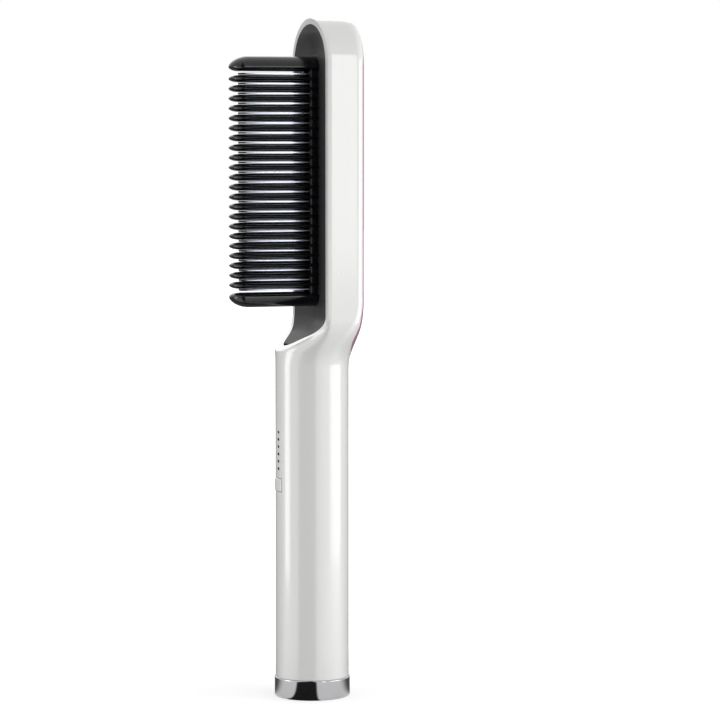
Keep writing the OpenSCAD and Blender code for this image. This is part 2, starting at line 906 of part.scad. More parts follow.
module chassis() {
    color([0.75, 0.76, 0.75])
        difference() {
            union() {
                translate([-chassis_half, chassis_front, spindle_high + 1])
                    cube([2 * chassis_half, chassis_t, chassis_high - spindle_high - 1]);
                for (x = [-chassis_half, leg_in])
                    translate([x, chassis_front, carrier_high])
                        cube([chassis_half - leg_in, chassis_t, spindle_high + 2 - carrier_high]);
                board_corners()
                    along_y(stand_off_r, board_back, chassis_front + eps);
            }
            board_corners()
                along_y(board_screw_r, board_back - 1, chassis_front + 1.1);
            for (z = [spindle_high + 12 : frame_hole_pitch : board_low - 8])
                translate([0, 0, z])
                    along_y(frame_hole_r, chassis_front - 1, chassis_front + chassis_t + 1);
        }
}

// A round lead that climbs, steps back and climbs again
module stepped_lead(x, y0, z0, y1, z1, r) {
    bend = lead_bend;
    translate([x, y0, z0])
        cylinder(r = r, h = turn_z - z0);
    translate([x, y0 + bend, turn_z])
        rotate([90, 0, -90])
            rotate_extrude(angle = 90)
                translate([bend, 0])
                    circle(r);
    translate([x, 0, turn_z + bend])
        along_y(r, y0 + bend, y1 - bend);
    translate([x, y1 - bend, turn_z + 2 * bend])
        rotate([90, 0, 90])
            rotate([0, 0, -90])
                rotate_extrude(angle = 90)
                    translate([bend, 0])
                        circle(r);
    translate([x, y1, turn_z + 2 * bend])
        cylinder(r = r, h = z1 - turn_z - 2 * bend);
}

lead_x = 3.6;
lead_bend = 3;
lead_low = board_high - 8;
sensor_lead_r = 0.4;
sensor_lead_low = board_high - 1;
turn_z = chassis_high + 1.5;

module heater_leads() {
    color([0.75, 0.12, 0.10])
        for (x = [-lead_x, lead_x])
            stepped_lead(x, board_back + lead_r, lead_low,
                bar_back + film_t + element_t / 2, element_low, lead_r);
}

module sensor_leads() {
    color([0.85, 0.85, 0.80])
        for (side = [-1, 1])
            stepped_lead(sensor_x + side * 0.6, board_back + sensor_lead_r, sensor_lead_low,
                bar_back + sensor_r, sensor_z, sensor_lead_r);
}

module mains_leads() {
    color([0.35, 0.22, 0.12])
        for (x = [-contact_x - contact_t / 2, contact_x + contact_t / 2])
            translate([x, 0, contact_high])
                cylinder(r = lead_r, h = board_low - contact_high - 0.1);
}

// Foot: dark ring, cap and the swivelling cord inlet
module foot_screw_places() {
    for (a = [90, 210, 330])
        rotate(a)
            translate([boss_at, 0, 0])
                children();
}

module base_ring() {
    color([0.10, 0.10, 0.11])
        difference() {
            union() {
                rotate_extrude()
                    polygon([
                        [cap_r + fit_gap, 0],
                        [ring_r - 0.5, 0],
                        [ring_r, 0.5],
                        [ring_r, base_h - 0.4],
                        [ring_r - 0.4, base_h],
                        [bore_r - swivel_gap, base_h],
                        [bore_r - swivel_gap, carrier_low],
                        [bore_r - spigot_t, carrier_low],
                        [bore_r - spigot_t, cap_high],
                        [cap_r + fit_gap, cap_high]]);
                foot_screw_places()
                    translate([0, 0, cap_high + fit_gap])
                        cylinder(r = foot_boss_r, h = carrier_low - cap_high - fit_gap);
            }
            foot_screw_places()
                translate([0, 0, cap_high - 1])
                    cylinder(r = foot_screw_r, h = carrier_low - cap_high + 0.2);
        }
}

module base_cap() {
    color([0.16, 0.16, 0.17])
        difference() {
            translate([0, 0, cap_low])
                cylinder(r = cap_r, h = cap_high - cap_low);
            translate([0, 0, -1])
                cylinder(r = swivel_r + swivel_gap, h = far);
            translate([0, 0, -1])
                cylinder(r = flange_r + 0.3, h = flange_high + 0.2 + 1);
            foot_screw_places()
                union() {
                    cylinder(r = foot_screw_r + fit_gap, h = cap_high + 1);
                    cylinder(r = foot_head_r + fit_gap, h = foot_seat_z);
                }
        }
}

module foot_screws() {
    color([0.62, 0.63, 0.65])
        foot_screw_places()
            translate([0, 0, carrier_low - 1])
                mirror([0, 0, 1])
                    screw(foot_screw_r, carrier_low - 1 - foot_seat_z, foot_head_r, foot_head_h);
}

module cord_swivel() {
    color([0.13, 0.13, 0.14])
        difference() {
            union() {
                translate([0, 0, cap_low])
                    cylinder(r = flange_r, h = flange_high - cap_low);
                translate([0, 0, flange_high - eps])
                    cylinder(r = swivel_r, h = spindle_high - flange_high + eps);
            }
            translate([0, 0, -1])
                cylinder(r = cord_hole_r, h = far);
            translate([0, 0, groove_z])
                difference() {
                    cylinder(r = flange_r, h = clip_t);
                    translate([0, 0, -1])
                        cylinder(r = groove_r, h = clip_t + 2);
                }
        }
}

module swivel_clip() {
    color([0.66, 0.67, 0.68])
        translate([0, 0, groove_z + clip_play])
            difference() {
                cylinder(r = swivel_r + 1.2, h = clip_t - 2 * clip_play);
                translate([0, 0, -1])
                    cylinder(r = groove_r + clip_play, h = clip_t + 2);
                translate([-1, 0, -1])
                    cube([2, far, clip_t + 2]);
            }
}

module slip_rings() {
    color([0.80, 0.62, 0.25])
        for (z = slip_ring_z)
            translate([0, 0, z])
                difference() {
                    cylinder(r = swivel_r + slip_ring_t, h = slip_ring_h);
                    translate([0, 0, -1])
                        cylinder(r = swivel_r, h = slip_ring_h + 2);
                }
}

contact_x = swivel_r + slip_ring_t + 0.35;
contact_t = 0.8;
contact_half = 1.5;
contact_high = carrier_high + 6;

module contact_carrier() {
    color([0.55, 0.50, 0.42])
        translate([0, 0, carrier_low])
            difference() {
                cylinder(r = bore_r - swivel_gap, h = carrier_t);
                translate([0, 0, -1])
                    cylinder(r = swivel_r + 0.4, h = carrier_t + 2);
            }
}

module slip_contacts() {
    color([0.80, 0.62, 0.25])
        for (side = [0, 1])
            mirror([side, 0, 0])
                translate([contact_x, -contact_half, carrier_high])
                    cube([contact_t, 2 * contact_half, contact_high - carrier_high]);
}

housing();
trim_ring();
back_panel();
comb_tray();
comb_guard();
heating_fins();
insulating_film();
ceramic_heaters();
heater_clamp();
clamp_screws();
heat_shield();
thermal_fuse();
thermistor();
tray_screws();
button_cap();
tact_switch();
light_guide();
indicator_lamps();
circuit_board();
board_screws();
controller_chip();
triac();
film_capacitor();
smoothing_capacitor();
chassis();
heater_leads();
sensor_leads();
mains_leads();
base_ring();
base_cap();
foot_screws();
cord_swivel();
swivel_clip();
slip_rings();
contact_carrier();
slip_contacts();
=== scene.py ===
import bpy, bmesh, math
from mathutils import Matrix, Vector


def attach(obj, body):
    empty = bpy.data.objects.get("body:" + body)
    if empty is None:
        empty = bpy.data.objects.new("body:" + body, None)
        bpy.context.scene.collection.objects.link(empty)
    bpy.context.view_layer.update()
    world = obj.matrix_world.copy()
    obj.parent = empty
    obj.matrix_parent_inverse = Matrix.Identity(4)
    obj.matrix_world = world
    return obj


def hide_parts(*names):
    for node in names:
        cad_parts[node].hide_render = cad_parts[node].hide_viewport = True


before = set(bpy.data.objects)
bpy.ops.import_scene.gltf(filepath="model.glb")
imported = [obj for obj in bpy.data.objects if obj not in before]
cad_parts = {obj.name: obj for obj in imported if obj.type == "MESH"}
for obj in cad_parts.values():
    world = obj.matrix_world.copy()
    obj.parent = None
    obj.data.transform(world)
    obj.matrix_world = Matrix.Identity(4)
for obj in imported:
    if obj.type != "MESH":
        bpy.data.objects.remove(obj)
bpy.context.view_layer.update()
mm = 0.001
weld = 1e-3             # mm between points that become one
fineWeld = 1e-4
print("frame loaded:", len(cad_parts), "nodes")

camera = {
    "azimuth": 71.0,        # degrees, 0 looks along +Y
    "distance": 1350.0,     # mm from the aim point
    "eyeHeight": 238.0,
    "aimHeight": 142.0,
    "aimRight": 20.2,       # the handle stands left of the middle
    "lens": 161.0,
    "sight": (0.05, 20.0),  # nearest and farthest, in metres
}


def addObject(name, data):
    thing = bpy.data.objects.new(name, data)
    bpy.context.scene.collection.objects.link(thing)
    return thing


def makeCamera(c):
    a = math.radians(c["azimuth"])
    right = Vector((math.cos(a), math.sin(a), 0))
    away = Vector((-math.sin(a), math.cos(a), 0))
    aim = right * c["aimRight"] + Vector((0, 0, c["aimHeight"]))
    eye = aim - away * c["distance"]
    eye.z = c["eyeHeight"]
    data = bpy.data.cameras.new("camera")
    data.lens = c["lens"]
    data.clip_start, data.clip_end = c["sight"]
    cam = addObject("camera", data)
    cam.location = eye * mm
    cam.rotation_mode = "QUATERNION"
    cam.rotation_quaternion = (aim - eye).to_track_quat("-Z", "Y")
    bpy.context.scene.camera = cam


# azimuth it shines from, then distance, height and its own width and height in metres, then brightness
softLights = {
    "sideBox": (151, 0.45, 0.17, 0.33, 0.36, 2.5),
    "stripBox": (-11, 0.38, 0.16, 0.13, 0.34, 3.2),
    "headBox": (109, 1.2, 0.46, 0.25, 0.70, 3.1),
    "backBox": (262, 1.3, 0.60, 0.8, 0.8, 0.6),
}
lampAim = 0.17          # a lamp that stands higher points down to this height


def makeLights(lights):
    for name, (az, distance, height, wide, tall, bright) in lights.items():
        a = math.radians(az)
        data = bpy.data.lights.new(name, "AREA")
        data.shape = "RECTANGLE"
        data.size = wide
        data.size_y = tall
        data.energy = bright * math.pi * wide * tall
        lamp = addObject(name, data)
        lamp.visible_camera = False
        lamp.location = (math.sin(a) * distance, -math.cos(a) * distance, height)
        toward = Vector((0, 0, min(height, lampAim))) - lamp.location
        lamp.rotation_mode = "QUATERNION"
        lamp.rotation_quaternion = toward.to_track_quat("-Z", "Y")


studio = {
    "ambient": 0.66,        # world light that falls on the object
    "roomAzimuth": 56.5,    # the dark room behind the camera, seen only in reflections
    "roomHalf": 27.0,
    "roomSoft": 3.0,
    "roomDark": 0.98,
    "behindAzimuth": 251.0,  # a greyer zone behind the tool, seen only in what its edges reflect
    "behindHalf": 50.0,
    "behindSoft": 20.0,
    "behindDark": 0.88,
    "behindFade": (0.03, 0.12),  # upward slopes over which it ends, so that what lies flat stays white
    "floorHalf": 6.0,
    "floorSpread": 30.0,    # how much wider the zone behind is on the floor
    "floorRough": 0.7,
    "floorColour": 0.58,
    "floorNear": 0.52,      # extra white close to the foot
    "nearRadius": 0.045,
    "farRadius": 0.15,
}


def mathNode(tree, operation, a, b=None, c=None, clamp=False):
    node = tree.nodes.new("ShaderNodeMath")
    node.operation = operation
    node.use_clamp = clamp
    for socket, value in zip(node.inputs, (a, b, c)):
        if value is None:
            continue
        if isinstance(value, (int, float)):
            socket.default_value = value
        else:
            tree.links.new(value, socket)
    return node.outputs[0]


def vectorNode(tree, operation, a, b=None):
    node = tree.nodes.new("ShaderNodeVectorMath")
    node.operation = operation
    for socket, value in zip(node.inputs, (a, b)):
        if value is None:
            continue
        if isinstance(value, tuple):
            socket.default_value = value
        else:
            tree.links.new(value, socket)
    return node.outputs["Value"] if operation in ("DOT_PRODUCT", "LENGTH") else node.outputs["Vector"]


def rangeNode(tree, value, fromLow, fromHigh, toLow=0.0, toHigh=1.0, smooth=False):
    node = tree.nodes.new("ShaderNodeMapRange")
    node.clamp = True
    if smooth:
        node.interpolation_type = "SMOOTHSTEP"
    tree.links.new(value, node.inputs["Value"])
    for name, number in (("From Min", fromLow), ("From Max", fromHigh), ("To Min", toLow), ("To Max", toHigh)):
        if isinstance(number, (int, float)):
            node.inputs[name].default_value = number
        else:
            tree.links.new(number, node.inputs[name])
    return node.outputs["Result"]


# the same value in red, green and blue
def greyNode(tree, value):
    node = tree.nodes.new("ShaderNodeCombineColor")
    for socket in node.inputs[:3]:
        tree.links.new(value, socket)
    return node.outputs[0]


def ownCoords(tree):
    return tree.nodes.new("ShaderNodeTexCoord").outputs["Object"]


def seenDirectly(tree):
    path = tree.nodes.new("ShaderNodeLightPath")
    first = mathNode(tree, "MAXIMUM", path.outputs["Is Camera Ray"], path.outputs["Is Glossy Ray"])
    return mathNode(tree, "MAXIMUM", first, path.outputs["Is Transmission Ray"]), path


# how dark each level direction is: the room behind the camera, and the zone behind the tool
def roomMask(tree, direction, spread=0):
    level = vectorNode(tree, "NORMALIZE", vectorNode(tree, "MULTIPLY", direction, (1, 1, 0)))
    zones = []
    for name, wider in (("room", 0), ("behind", spread)):
        a = math.radians(studio[name + "Azimuth"])
        along = vectorNode(tree, "DOT_PRODUCT", level, (math.sin(a), -math.cos(a), 0))
        half, soft = studio[name + "Half"] + wider, studio[name + "Soft"]
        edge = [math.cos(math.radians(half + s * soft)) for s in (1, -1)]
        zones.append(rangeNode(tree, along, *edge, 0.0, studio[name + "Dark"], smooth=True))
    split = tree.nodes.new("ShaderNodeSeparateXYZ")
    tree.links.new(vectorNode(tree, "NORMALIZE", direction), split.inputs[0])
    low = rangeNode(tree, split.outputs["Z"], *studio["behindFade"], 1.0, 0.0)
    return mathNode(tree, "MAXIMUM", zones[0], mathNode(tree, "MULTIPLY", zones[1], low))


# 1, less what the dark zones take from a reflection
def litShare(tree, direction, path, spread=0):
    shade = mathNode(tree, "MULTIPLY", roomMask(tree, direction, spread), path.outputs["Is Glossy Ray"])
    return mathNode(tree, "SUBTRACT", 1.0, shade)


def makeFloor():
    bm = bmesh.new()
    bmesh.ops.create_grid(bm, x_segments=1, y_segments=1, size=studio["floorHalf"])
    mesh = bpy.data.meshes.new("floor")
    bm.to_mesh(mesh)
    bm.free()
    floor = addObject("floor", mesh)
    mat = bpy.data.materials.new("paleFloor")
    mat.use_nodes = True
    tree = mat.node_tree
    shader = tree.nodes["Principled BSDF"]
    shader.inputs["Roughness"].default_value = studio["floorRough"]
    shader.inputs["Specular IOR Level"].default_value = 0.0
    shader.inputs["Emission Color"].default_value = (1, 1, 1, 1)
    where = ownCoords(tree)
    away = vectorNode(tree, "LENGTH", where)
    glow = rangeNode(tree, away, studio["nearRadius"], studio["farRadius"], studio["floorNear"], 1.0, smooth=True)
    seen, path = seenDirectly(tree)
    lit = litShare(tree, where, path, studio["floorSpread"])
    strength = mathNode(tree, "MULTIPLY", mathNode(tree, "MULTIPLY", glow, seen), lit)
    tree.links.new(strength, shader.inputs["Emission Strength"])
    grey = greyNode(tree, mathNode(tree, "MULTIPLY", lit, studio["floorColour"]))
    tree.links.new(grey, shader.inputs["Base Color"])
    mesh.materials.append(mat)


def makeWorld():
    world = bpy.data.worlds.new("studio")
    bpy.context.scene.world = world
    world.use_nodes = True
    tree = world.node_tree
    tree.nodes.clear()
    plain = tree.nodes.new("ShaderNodeBackground")
    plain.inputs["Color"].default_value = (1, 1, 1, 1)
    plain.inputs["Strength"].default_value = studio["ambient"]
    white = tree.nodes.new("ShaderNodeBackground")
    white.inputs["Color"].default_value = (1, 1, 1, 1)
    seen, path = seenDirectly(tree)
    direction = tree.nodes.new("ShaderNodeTexCoord").outputs["Generated"]
    tree.links.new(litShare(tree, direction, path), white.inputs["Strength"])
    mix = tree.nodes.new("ShaderNodeMixShader")
    out = tree.nodes.new("ShaderNodeOutputWorld")
    tree.links.new(seen, mix.inputs[0])
    tree.links.new(plain.outputs[0], mix.inputs[1])
    tree.links.new(white.outputs[0], mix.inputs[2])
    tree.links.new(mix.outputs[0], out.inputs[0])


bpy.context.scene.view_settings.view_transform = "Standard"
makeCamera(camera)
makeLights(softLights)
makeFloor()
makeWorld()
print("camera, lights and floor made")

# shape of the tool as in the part, in millimetres, scaled when a piece is finished
tool = {
    "height": 284.88,
    "wall": 2.4,
    "handleR": 15.4,
    "neckZ": 138.0,
    "neckLen": 29.0,
    "headR": 23.88,
    "back": 15.92,          # the trim stands a little proud of this
    "rimFront": 0.9,
    "topRise": 18.98,
    "edgeR": 4.1,
    "scoopR": 10.0,
    "scoopSlope": 35.0,
    "scoopRise": 23.5,
    "frontDepth": 6.0,
    "topEdgeR": 4.0,
    "widen": (2.0, 0.655),  # sides: start above the neck's low end, and share of its length
    "narrow": (8.0, 0.414),  # the same for the front
    "frontWall": 0.6,       # how much of the wall the head's front leaves off
    "frontSharp": 0.5,      # how much sharper than an ellipse the head's front is
    "topWall": 0.5,
    "leastCornerR": 1.2,
}
springZ = tool["height"] - tool["topRise"]
scoopTop = tool["neckZ"] + tool["scoopRise"]
scoopTurn = math.radians(90 - tool["scoopSlope"])
scoopMidY = -tool["rimFront"] - tool["scoopR"]
scoopEnd = (scoopMidY + tool["scoopR"] * math.cos(scoopTurn), scoopTop - tool["scoopR"] * math.sin(scoopTurn))


def ease(s):
    c = min(max(s, 0), 1)
    return c * c * (3 - 2 * c)


def mixed(a, b, t):
    return a + (b - a) * t


# from 0 to 1 up the neck
def upNeck(z, start=0, share=1):
    return ease((z - tool["neckZ"] - start) / (tool["neckLen"] * share))


def pinch(z):
    return upNeck(z, *tool["narrow"])


def frontPower(z):
    return 1 + tool["frontSharp"] * math.sqrt(pinch(z))


def halfWidth(z, w):
    if z < springZ:
        return mixed(tool["handleR"], tool["headR"], upNeck(z, *tool["widen"])) - w
    part = (z - springZ) / (tool["topRise"] - w)
    return (tool["headR"] - w) * math.sqrt(max(1 - part * part, 0))


def topRound(z, w):
    r = tool["topEdgeR"] - w * tool["topWall"]
    over = z - (tool["height"] - w - r)
    return 0 if over <= 0 else r - math.sqrt(max(r * r - over * over, 0))


def backDepth(z, w):
    return mixed(tool["handleR"], tool["back"], upNeck(z)) - w - topRound(z, w)


def frontReach(z, w):
    return mixed(tool["handleR"], tool["frontDepth"], pinch(z)) - w * (1 - pinch(z) * tool["frontWall"])


def cornerR(z, w):
    r = mixed(tool["handleR"], tool["edgeR"], upNeck(z)) - w
    return min(max(r, tool["leastCornerR"]), halfWidth(z, w))


def sideX(z, y, w):
    if y >= 0:
        return halfWidth(z, w)
    inside = max(1 - (y / frontReach(z, w)) ** 2, 0)
    return halfWidth(z, w) * math.sqrt(inside) ** frontPower(z)


def scoopY(z):
    if z >= scoopTop:
        return -tool["rimFront"]
    if z >= scoopEnd[1]:
        return scoopMidY + math.sqrt(max(tool["scoopR"] ** 2 - (z - scoopTop) ** 2, 0))
    return scoopEnd[0] - (scoopEnd[1] - z) / math.tan(math.radians(tool["scoopSlope"]))


# the back's distance from the plane Y = 0 at one point
def backSurface(x, z):
    half, r = halfWidth(z, 0), cornerR(z, 0)
    middle = backDepth(z, 0) - r
    over = abs(x) - (half - r)
    return middle + (r if over <= 0 else math.sqrt(max(r * r - over * over, 0)))


# points from the front, or from the rim, round the right side to the middle of the back
def halfOutline(z, w, fine=90):
    half, reach, r = halfWidth(z, w), frontReach(z, w), cornerR(z, w)
    middle = backDepth(z, w) - r
    power = frontPower(z)
    cut = scoopY(z)
    start = math.asin(min(max(-cut / reach, 0), 1)) if cut > -reach else math.pi / 2
    points = []
    for i in range(fine + 1):
        a = start * (1 - i / fine)
        points.append((half * max(math.cos(a), 0) ** power, -reach * math.sin(a)))
    for i in range(fine + 1):
        a = math.pi / 2 * i / fine
        points.append((half - r + r * math.cos(a), middle + r * math.sin(a)))
    points.append((0, middle + r))
    return points


# points along a line at these fractions of its length
def spaced(points, fractions):
    lengths = [0]
    for p, q in zip(points, points[1:]):
        lengths.append(lengths[-1] + math.dist(p, q))
    out, k = [], 0
    for f in fractions:
        s = f * lengths[-1]
        while k < len(points) - 2 and lengths[k + 1] < s:
            k += 1
        step = lengths[k + 1] - lengths[k]
        t = (s - lengths[k]) / step if step > 1e-9 else 0
        out.append(tuple(mixed(a, b, t) for a, b in zip(points[k], points[k + 1])))
    return out


# heights from low up to, but without, high; crowd above 1 brings them closer at the low end
def rowsBetween(low, high, count, crowd=1):
    return [mixed(low, high, (i / count) ** crowd) for i in range(count)]


# heights over the round top of the head
def rowsOverTop(w, count, angle=90):
    return [springZ + (tool["topRise"] - w) * math.sin(math.radians(angle) * i / count) for i in range(count + 1)]


faceWeight = 60         # how far large faces lead the shading of a corner


def newPiece(name, bm, body, *replaced, even=True):
    bmesh.ops.scale(bm, vec=(mm, mm, mm), verts=bm.verts)
    mesh = bpy.data.meshes.new(name)
    bm.to_mesh(mesh)
    bm.free()
    for p in mesh.polygons:
        p.use_smooth = True
    piece = addObject(name, mesh)
    if even:
        weigh = piece.modifiers.new("evenShading", "WEIGHTED_NORMAL")
        weigh.keep_sharp = False
        weigh.weight = faceWeight
    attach(piece, body)
    if replaced:
        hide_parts(*replaced)
    return piece


def roundEdges(bm, edges, offset, segments=2):
    bmesh.ops.bevel(bm, geom=[e for e in edges if e.is_valid], offset=offset, affect="EDGES",
                    segments=segments, profile=0.5, material=-1, clamp_overlap=True)


# a box between two corners with rounded edges
def softBox(bm, low, high, offset, segments=2):
    corners = bmesh.ops.create_cube(bm, size=1)["verts"]
    bmesh.ops.scale(bm, vec=[b - a for a, b in zip(low, high)], verts=corners)
    bmesh.ops.translate(bm, vec=[(a + b) / 2 for a, b in zip(low, high)], verts=corners)
    roundEdges(bm, {e for v in corners for e in v.link_edges}, offset, segments)


shell = {
    "columns": 62,          # from the front to the middle of the back
    "buttonHalf": (4.35, 2.9),
    "buttonZ": 89.9,
    "windowX": (0.55, 2.25),
    "windowHalf": 0.55,
    "windowZ": 96.8,
    "windowPitch": 3.07,
    "windows": 6,
    "rimRound": 0.45,
    "rimSteps": 3,
    "holeRound": 0.12,
    "support": 0.35,        # extra line of faces beside each hole
    "tubeLevels": (8.4, 8.9, 20, 32, 44, 56, 68, 78),
    "neckLevels": (118, 124, 131),
    "neckRows": 8,
    "scoopRows": 30,
    "scoopCrowd": 1.8,
    "sideLevels": (163, 165),
    "sideStart": 167,
    "sideRows": 12,
    "topRows": 26,
}


def frontFractions(w):
    r = tool["handleR"] - w
    left, right, side, beside = *shell["windowX"], shell["buttonHalf"][0], shell["support"]
    lines = (left - beside, left, right, right + beside, side - beside, side, side + beside)
    marks = [0] + [math.asin(x / r) / math.pi for x in lines]
    rest = shell["columns"] - len(lines)
    return marks + [mixed(marks[-1], 1, i / rest) for i in range(1, rest + 1)]


# where the scoop comes out through the front
def scoopLow(w):
    low, high = tool["neckZ"] - 5, scoopTop
    for _ in range(50):
        z = (low + high) / 2
        low, high = (z, high) if scoopY(z) < -frontReach(z, w) else (low, z)
    return high


def shellLevels(w):
    windows = [shell["windowZ"] + i * shell["windowPitch"] + s * shell["windowHalf"]
               for i in range(shell["windows"]) for s in (-1, 1)]
    low, high = (shell["buttonZ"] + s * shell["buttonHalf"][1] for s in (-1, 1))
    beside = shell["support"]
    tube = [*shell["tubeLevels"], low - beside, low, low + beside, high - beside, high, high + beside,
            windows[0] - beside, *windows, windows[-1] + beside, *shell["neckLevels"]]
    opening = scoopLow(w)
    neck = rowsBetween(tool["neckZ"], opening, shell["neckRows"])
    scoop = rowsBetween(opening, scoopTop, shell["scoopRows"], shell["scoopCrowd"])
    side = [scoopTop, *shell["sideLevels"], *rowsBetween(shell["sideStart"], springZ, shell["sideRows"])]
    return tube + neck + scoop + side + rowsOverTop(w, shell["topRows"])


# one skin of the shell as a grid, w inside the outer one
def skin(bm, w, tag):
    levels, fractions = shellLevels(w), frontFractions(w)
    wide, tall = 2 * len(fractions) - 2, len(levels) - 1
    before = set(bm.verts)
    bmesh.ops.create_grid(bm, x_segments=wide, y_segments=tall, size=1)
    rings = [spaced(halfOutline(z, w), fractions) for z in levels]
    kind = bm.verts.layers.int["kind"]
    for v in bm.verts:
        if v in before:
            continue
        c = round((v.co.x + 1) / 2 * wide)
        r = round((v.co.y + 1) / 2 * tall)
        x, y = rings[r][min(c, wide - c)]
        v[kind] = tag
        v.co = (x if c <= wide // 2 else -x, y, levels[r])


# closed lines of open edges
def loopsOf(bm):
    left, found = {e for e in bm.edges if e.is_boundary}, []
    while left:
        group, queue = [], [left.pop()]
        while queue:
            e = queue.pop()
            group.append(e)
            for n in {n for v in e.verts for n in v.link_edges} & left:
                left.discard(n)
                queue.append(n)
        found.append(group)
    return found


def middleHeight(group):
    verts = [v for e in group for v in e.verts]
    return sum(v.co.z for v in verts) / len(verts)


def inHole(middle):
    if middle.y > 0:
        return False
    button = abs(middle.x) < shell["buttonHalf"][0] and abs(middle.z - shell["buttonZ"]) < shell["buttonHalf"][1]
    across = shell["windowX"][0] < middle.x < shell["windowX"][1]
    rows = (shell["windowZ"] + i * shell["windowPitch"] for i in range(shell["windows"]))
    return button or across and any(abs(middle.z - z) < shell["windowHalf"] for z in rows)


# joins the two skins under the handle, column by column
def closeBottom(bm, kind):
    low = sum(shell["tubeLevels"][:2]) / 2
    rings = [sorted((v for v in bm.verts if v[kind] == k and v.co.z < low),
                    key=lambda v: math.atan2(v.co.x, v.co.y)) for k in (1, 2)]
    for i in range(len(rings[0])):
        bm.faces.new((rings[0][i - 1], rings[0][i], rings[1][i], rings[1][i - 1]))


def makeShell():
    bm = bmesh.new()
    bm.verts.layers.int.new("kind")
    skin(bm, 0, 1)
    skin(bm, tool["wall"], 2)
    kind = bm.verts.layers.int["kind"]
    bmesh.ops.delete(bm, geom=[f for f in bm.faces if inHole(f.calc_center_median())], context="FACES")
    bmesh.ops.remove_doubles(bm, verts=bm.verts, dist=weld)
    groups = loopsOf(bm)
    outer = sorted((g for g in groups if g[0].verts[0][kind] == 1), key=middleHeight)
    inner = sorted((g for g in groups if g[0].verts[0][kind] == 2), key=middleHeight)
    closeBottom(bm, kind)
    for a, b in zip(outer[1:], inner[1:]):
        bmesh.ops.bridge_loops(bm, edges=a + b)
    bmesh.ops.recalc_face_normals(bm, faces=bm.faces)
    rims = [e for g in (outer[-1], inner[-1]) for e in g if e.is_valid]
    small = [e for g in outer[:-1] for e in g if e.is_valid]
    roundEdges(bm, small, shell["holeRound"])
    roundEdges(bm, rims, shell["rimRound"], shell["rimSteps"])
    return newPiece("shell", bm, "handle", "housing")


trim = {
    "proud": 0.07,
    "depth": 0.8,
    "outerHalf": 22.6,
    "low": 143.3,
    "high": 283.7,
    "rise": 19.7,
    "width": 3.4,
    "lowExtra": 1.0,        # how much wider it is at its low and high ends
    "highExtra": 2.0,
    "steps": 40,            # points on each end
    "sideSteps": 48,
    "rings": 8,
    "round": 0.14,
}


# a point on the outline, turn from 0 to 4: top end, left side, low end, right side
def archPoint(half, rise, low, high, turn):
    if turn < 1:
        a = math.pi * turn
        return half * math.cos(a), high - rise + rise * math.sin(a)
    if turn < 2:
        return -half, mixed(high - rise, low + rise, turn - 1)
    if turn < 3:
        a = math.pi * (turn - 1)
        return half * math.cos(a), low + rise + rise * math.sin(a)
    return half, mixed(low + rise, high - rise, turn - 3)


def archTurns():
    ends, sides = ([i / n for i in range(n)] for n in (trim["steps"], trim["sideSteps"]))
    return [0 + t for t in ends] + [1 + t for t in sides] + [2 + t for t in ends] + [3 + t for t in sides]


# outlines at the ring's inner edge and at its outer edge
def ringOutlines():
    t, w = trim, trim["width"]
    half = t["outerHalf"] - w
    inner = (half, half, t["low"] + w + t["lowExtra"], t["high"] - w - t["highExtra"])
    return inner, (t["outerHalf"], t["rise"], t["low"], t["high"])


# a sheet made solid, away from the side that it faces along Y
def thickened(bm, thickness, offset, facing=1):
    bmesh.ops.recalc_face_normals(bm, faces=bm.faces)
    if facing * sum(f.normal.y for f in bm.faces) < 0:
        bmesh.ops.reverse_faces(bm, faces=bm.faces)
    edges = [e for e in bm.edges if e.is_boundary]
    bmesh.ops.solidify(bm, geom=list(bm.faces), thickness=thickness)
    bmesh.ops.recalc_face_normals(bm, faces=bm.faces)
    roundEdges(bm, edges, offset)


def makeRing():
    turns = archTurns()
    inner, outer = ringOutlines()
    bm = bmesh.new()
    lines = [bmesh.ops.create_circle(bm, cap_ends=False, segments=len(turns), radius=1)["verts"]]
    edges = list(bm.edges)
    for _ in range(trim["rings"]):
        grown = bmesh.ops.extrude_edge_only(bm, edges=edges)["geom"]
        edges = [g for g in grown if isinstance(g, bmesh.types.BMEdge) and g.is_boundary
                 and all(v not in lines[-1] for v in g.verts)]
        fresh = {v for e in edges for v in e.verts}
        lines.append([next(e.other_vert(v) for e in v.link_edges if e.other_vert(v) in fresh) for v in lines[-1]])
    for k, line in enumerate(lines):
        t = k / trim["rings"]
        for v, turn in zip(line, turns):
            a, b = archPoint(*inner, turn), archPoint(*outer, turn)
            x, z = mixed(a[0], b[0], t), mixed(a[1], b[1], t)
            v.co = (x, backSurface(x, z) + trim["proud"], z)
    thickened(bm, trim["depth"], trim["round"])
    return newPiece("trimRing", bm, "handle", "trim_ring")


panel = {
    "gap": 0.7,
    "proud": 0.02,
    "dome": 0.05,
    "across": 28,
    "endRows": 16,
    "sideRows": 12,
    "thick": 2.2,
    "round": 0.12,
}


def panelRows():
    inner = ringOutlines()[0]
    half = inner[0] - panel["gap"]
    low, high = inner[2] + panel["gap"] + half, inner[3] - panel["gap"] - half
    turns = [math.pi / 2 * i / panel["endRows"] for i in range(panel["endRows"] + 1)]
    below = [(low - half * math.cos(a), half * math.sin(a)) for a in turns]
    side = [(mixed(low, high, i / panel["sideRows"]), half) for i in range(1, panel["sideRows"])]
    above = [(high + half * math.sin(a), half * math.cos(a)) for a in turns]
    return half, below + side + above


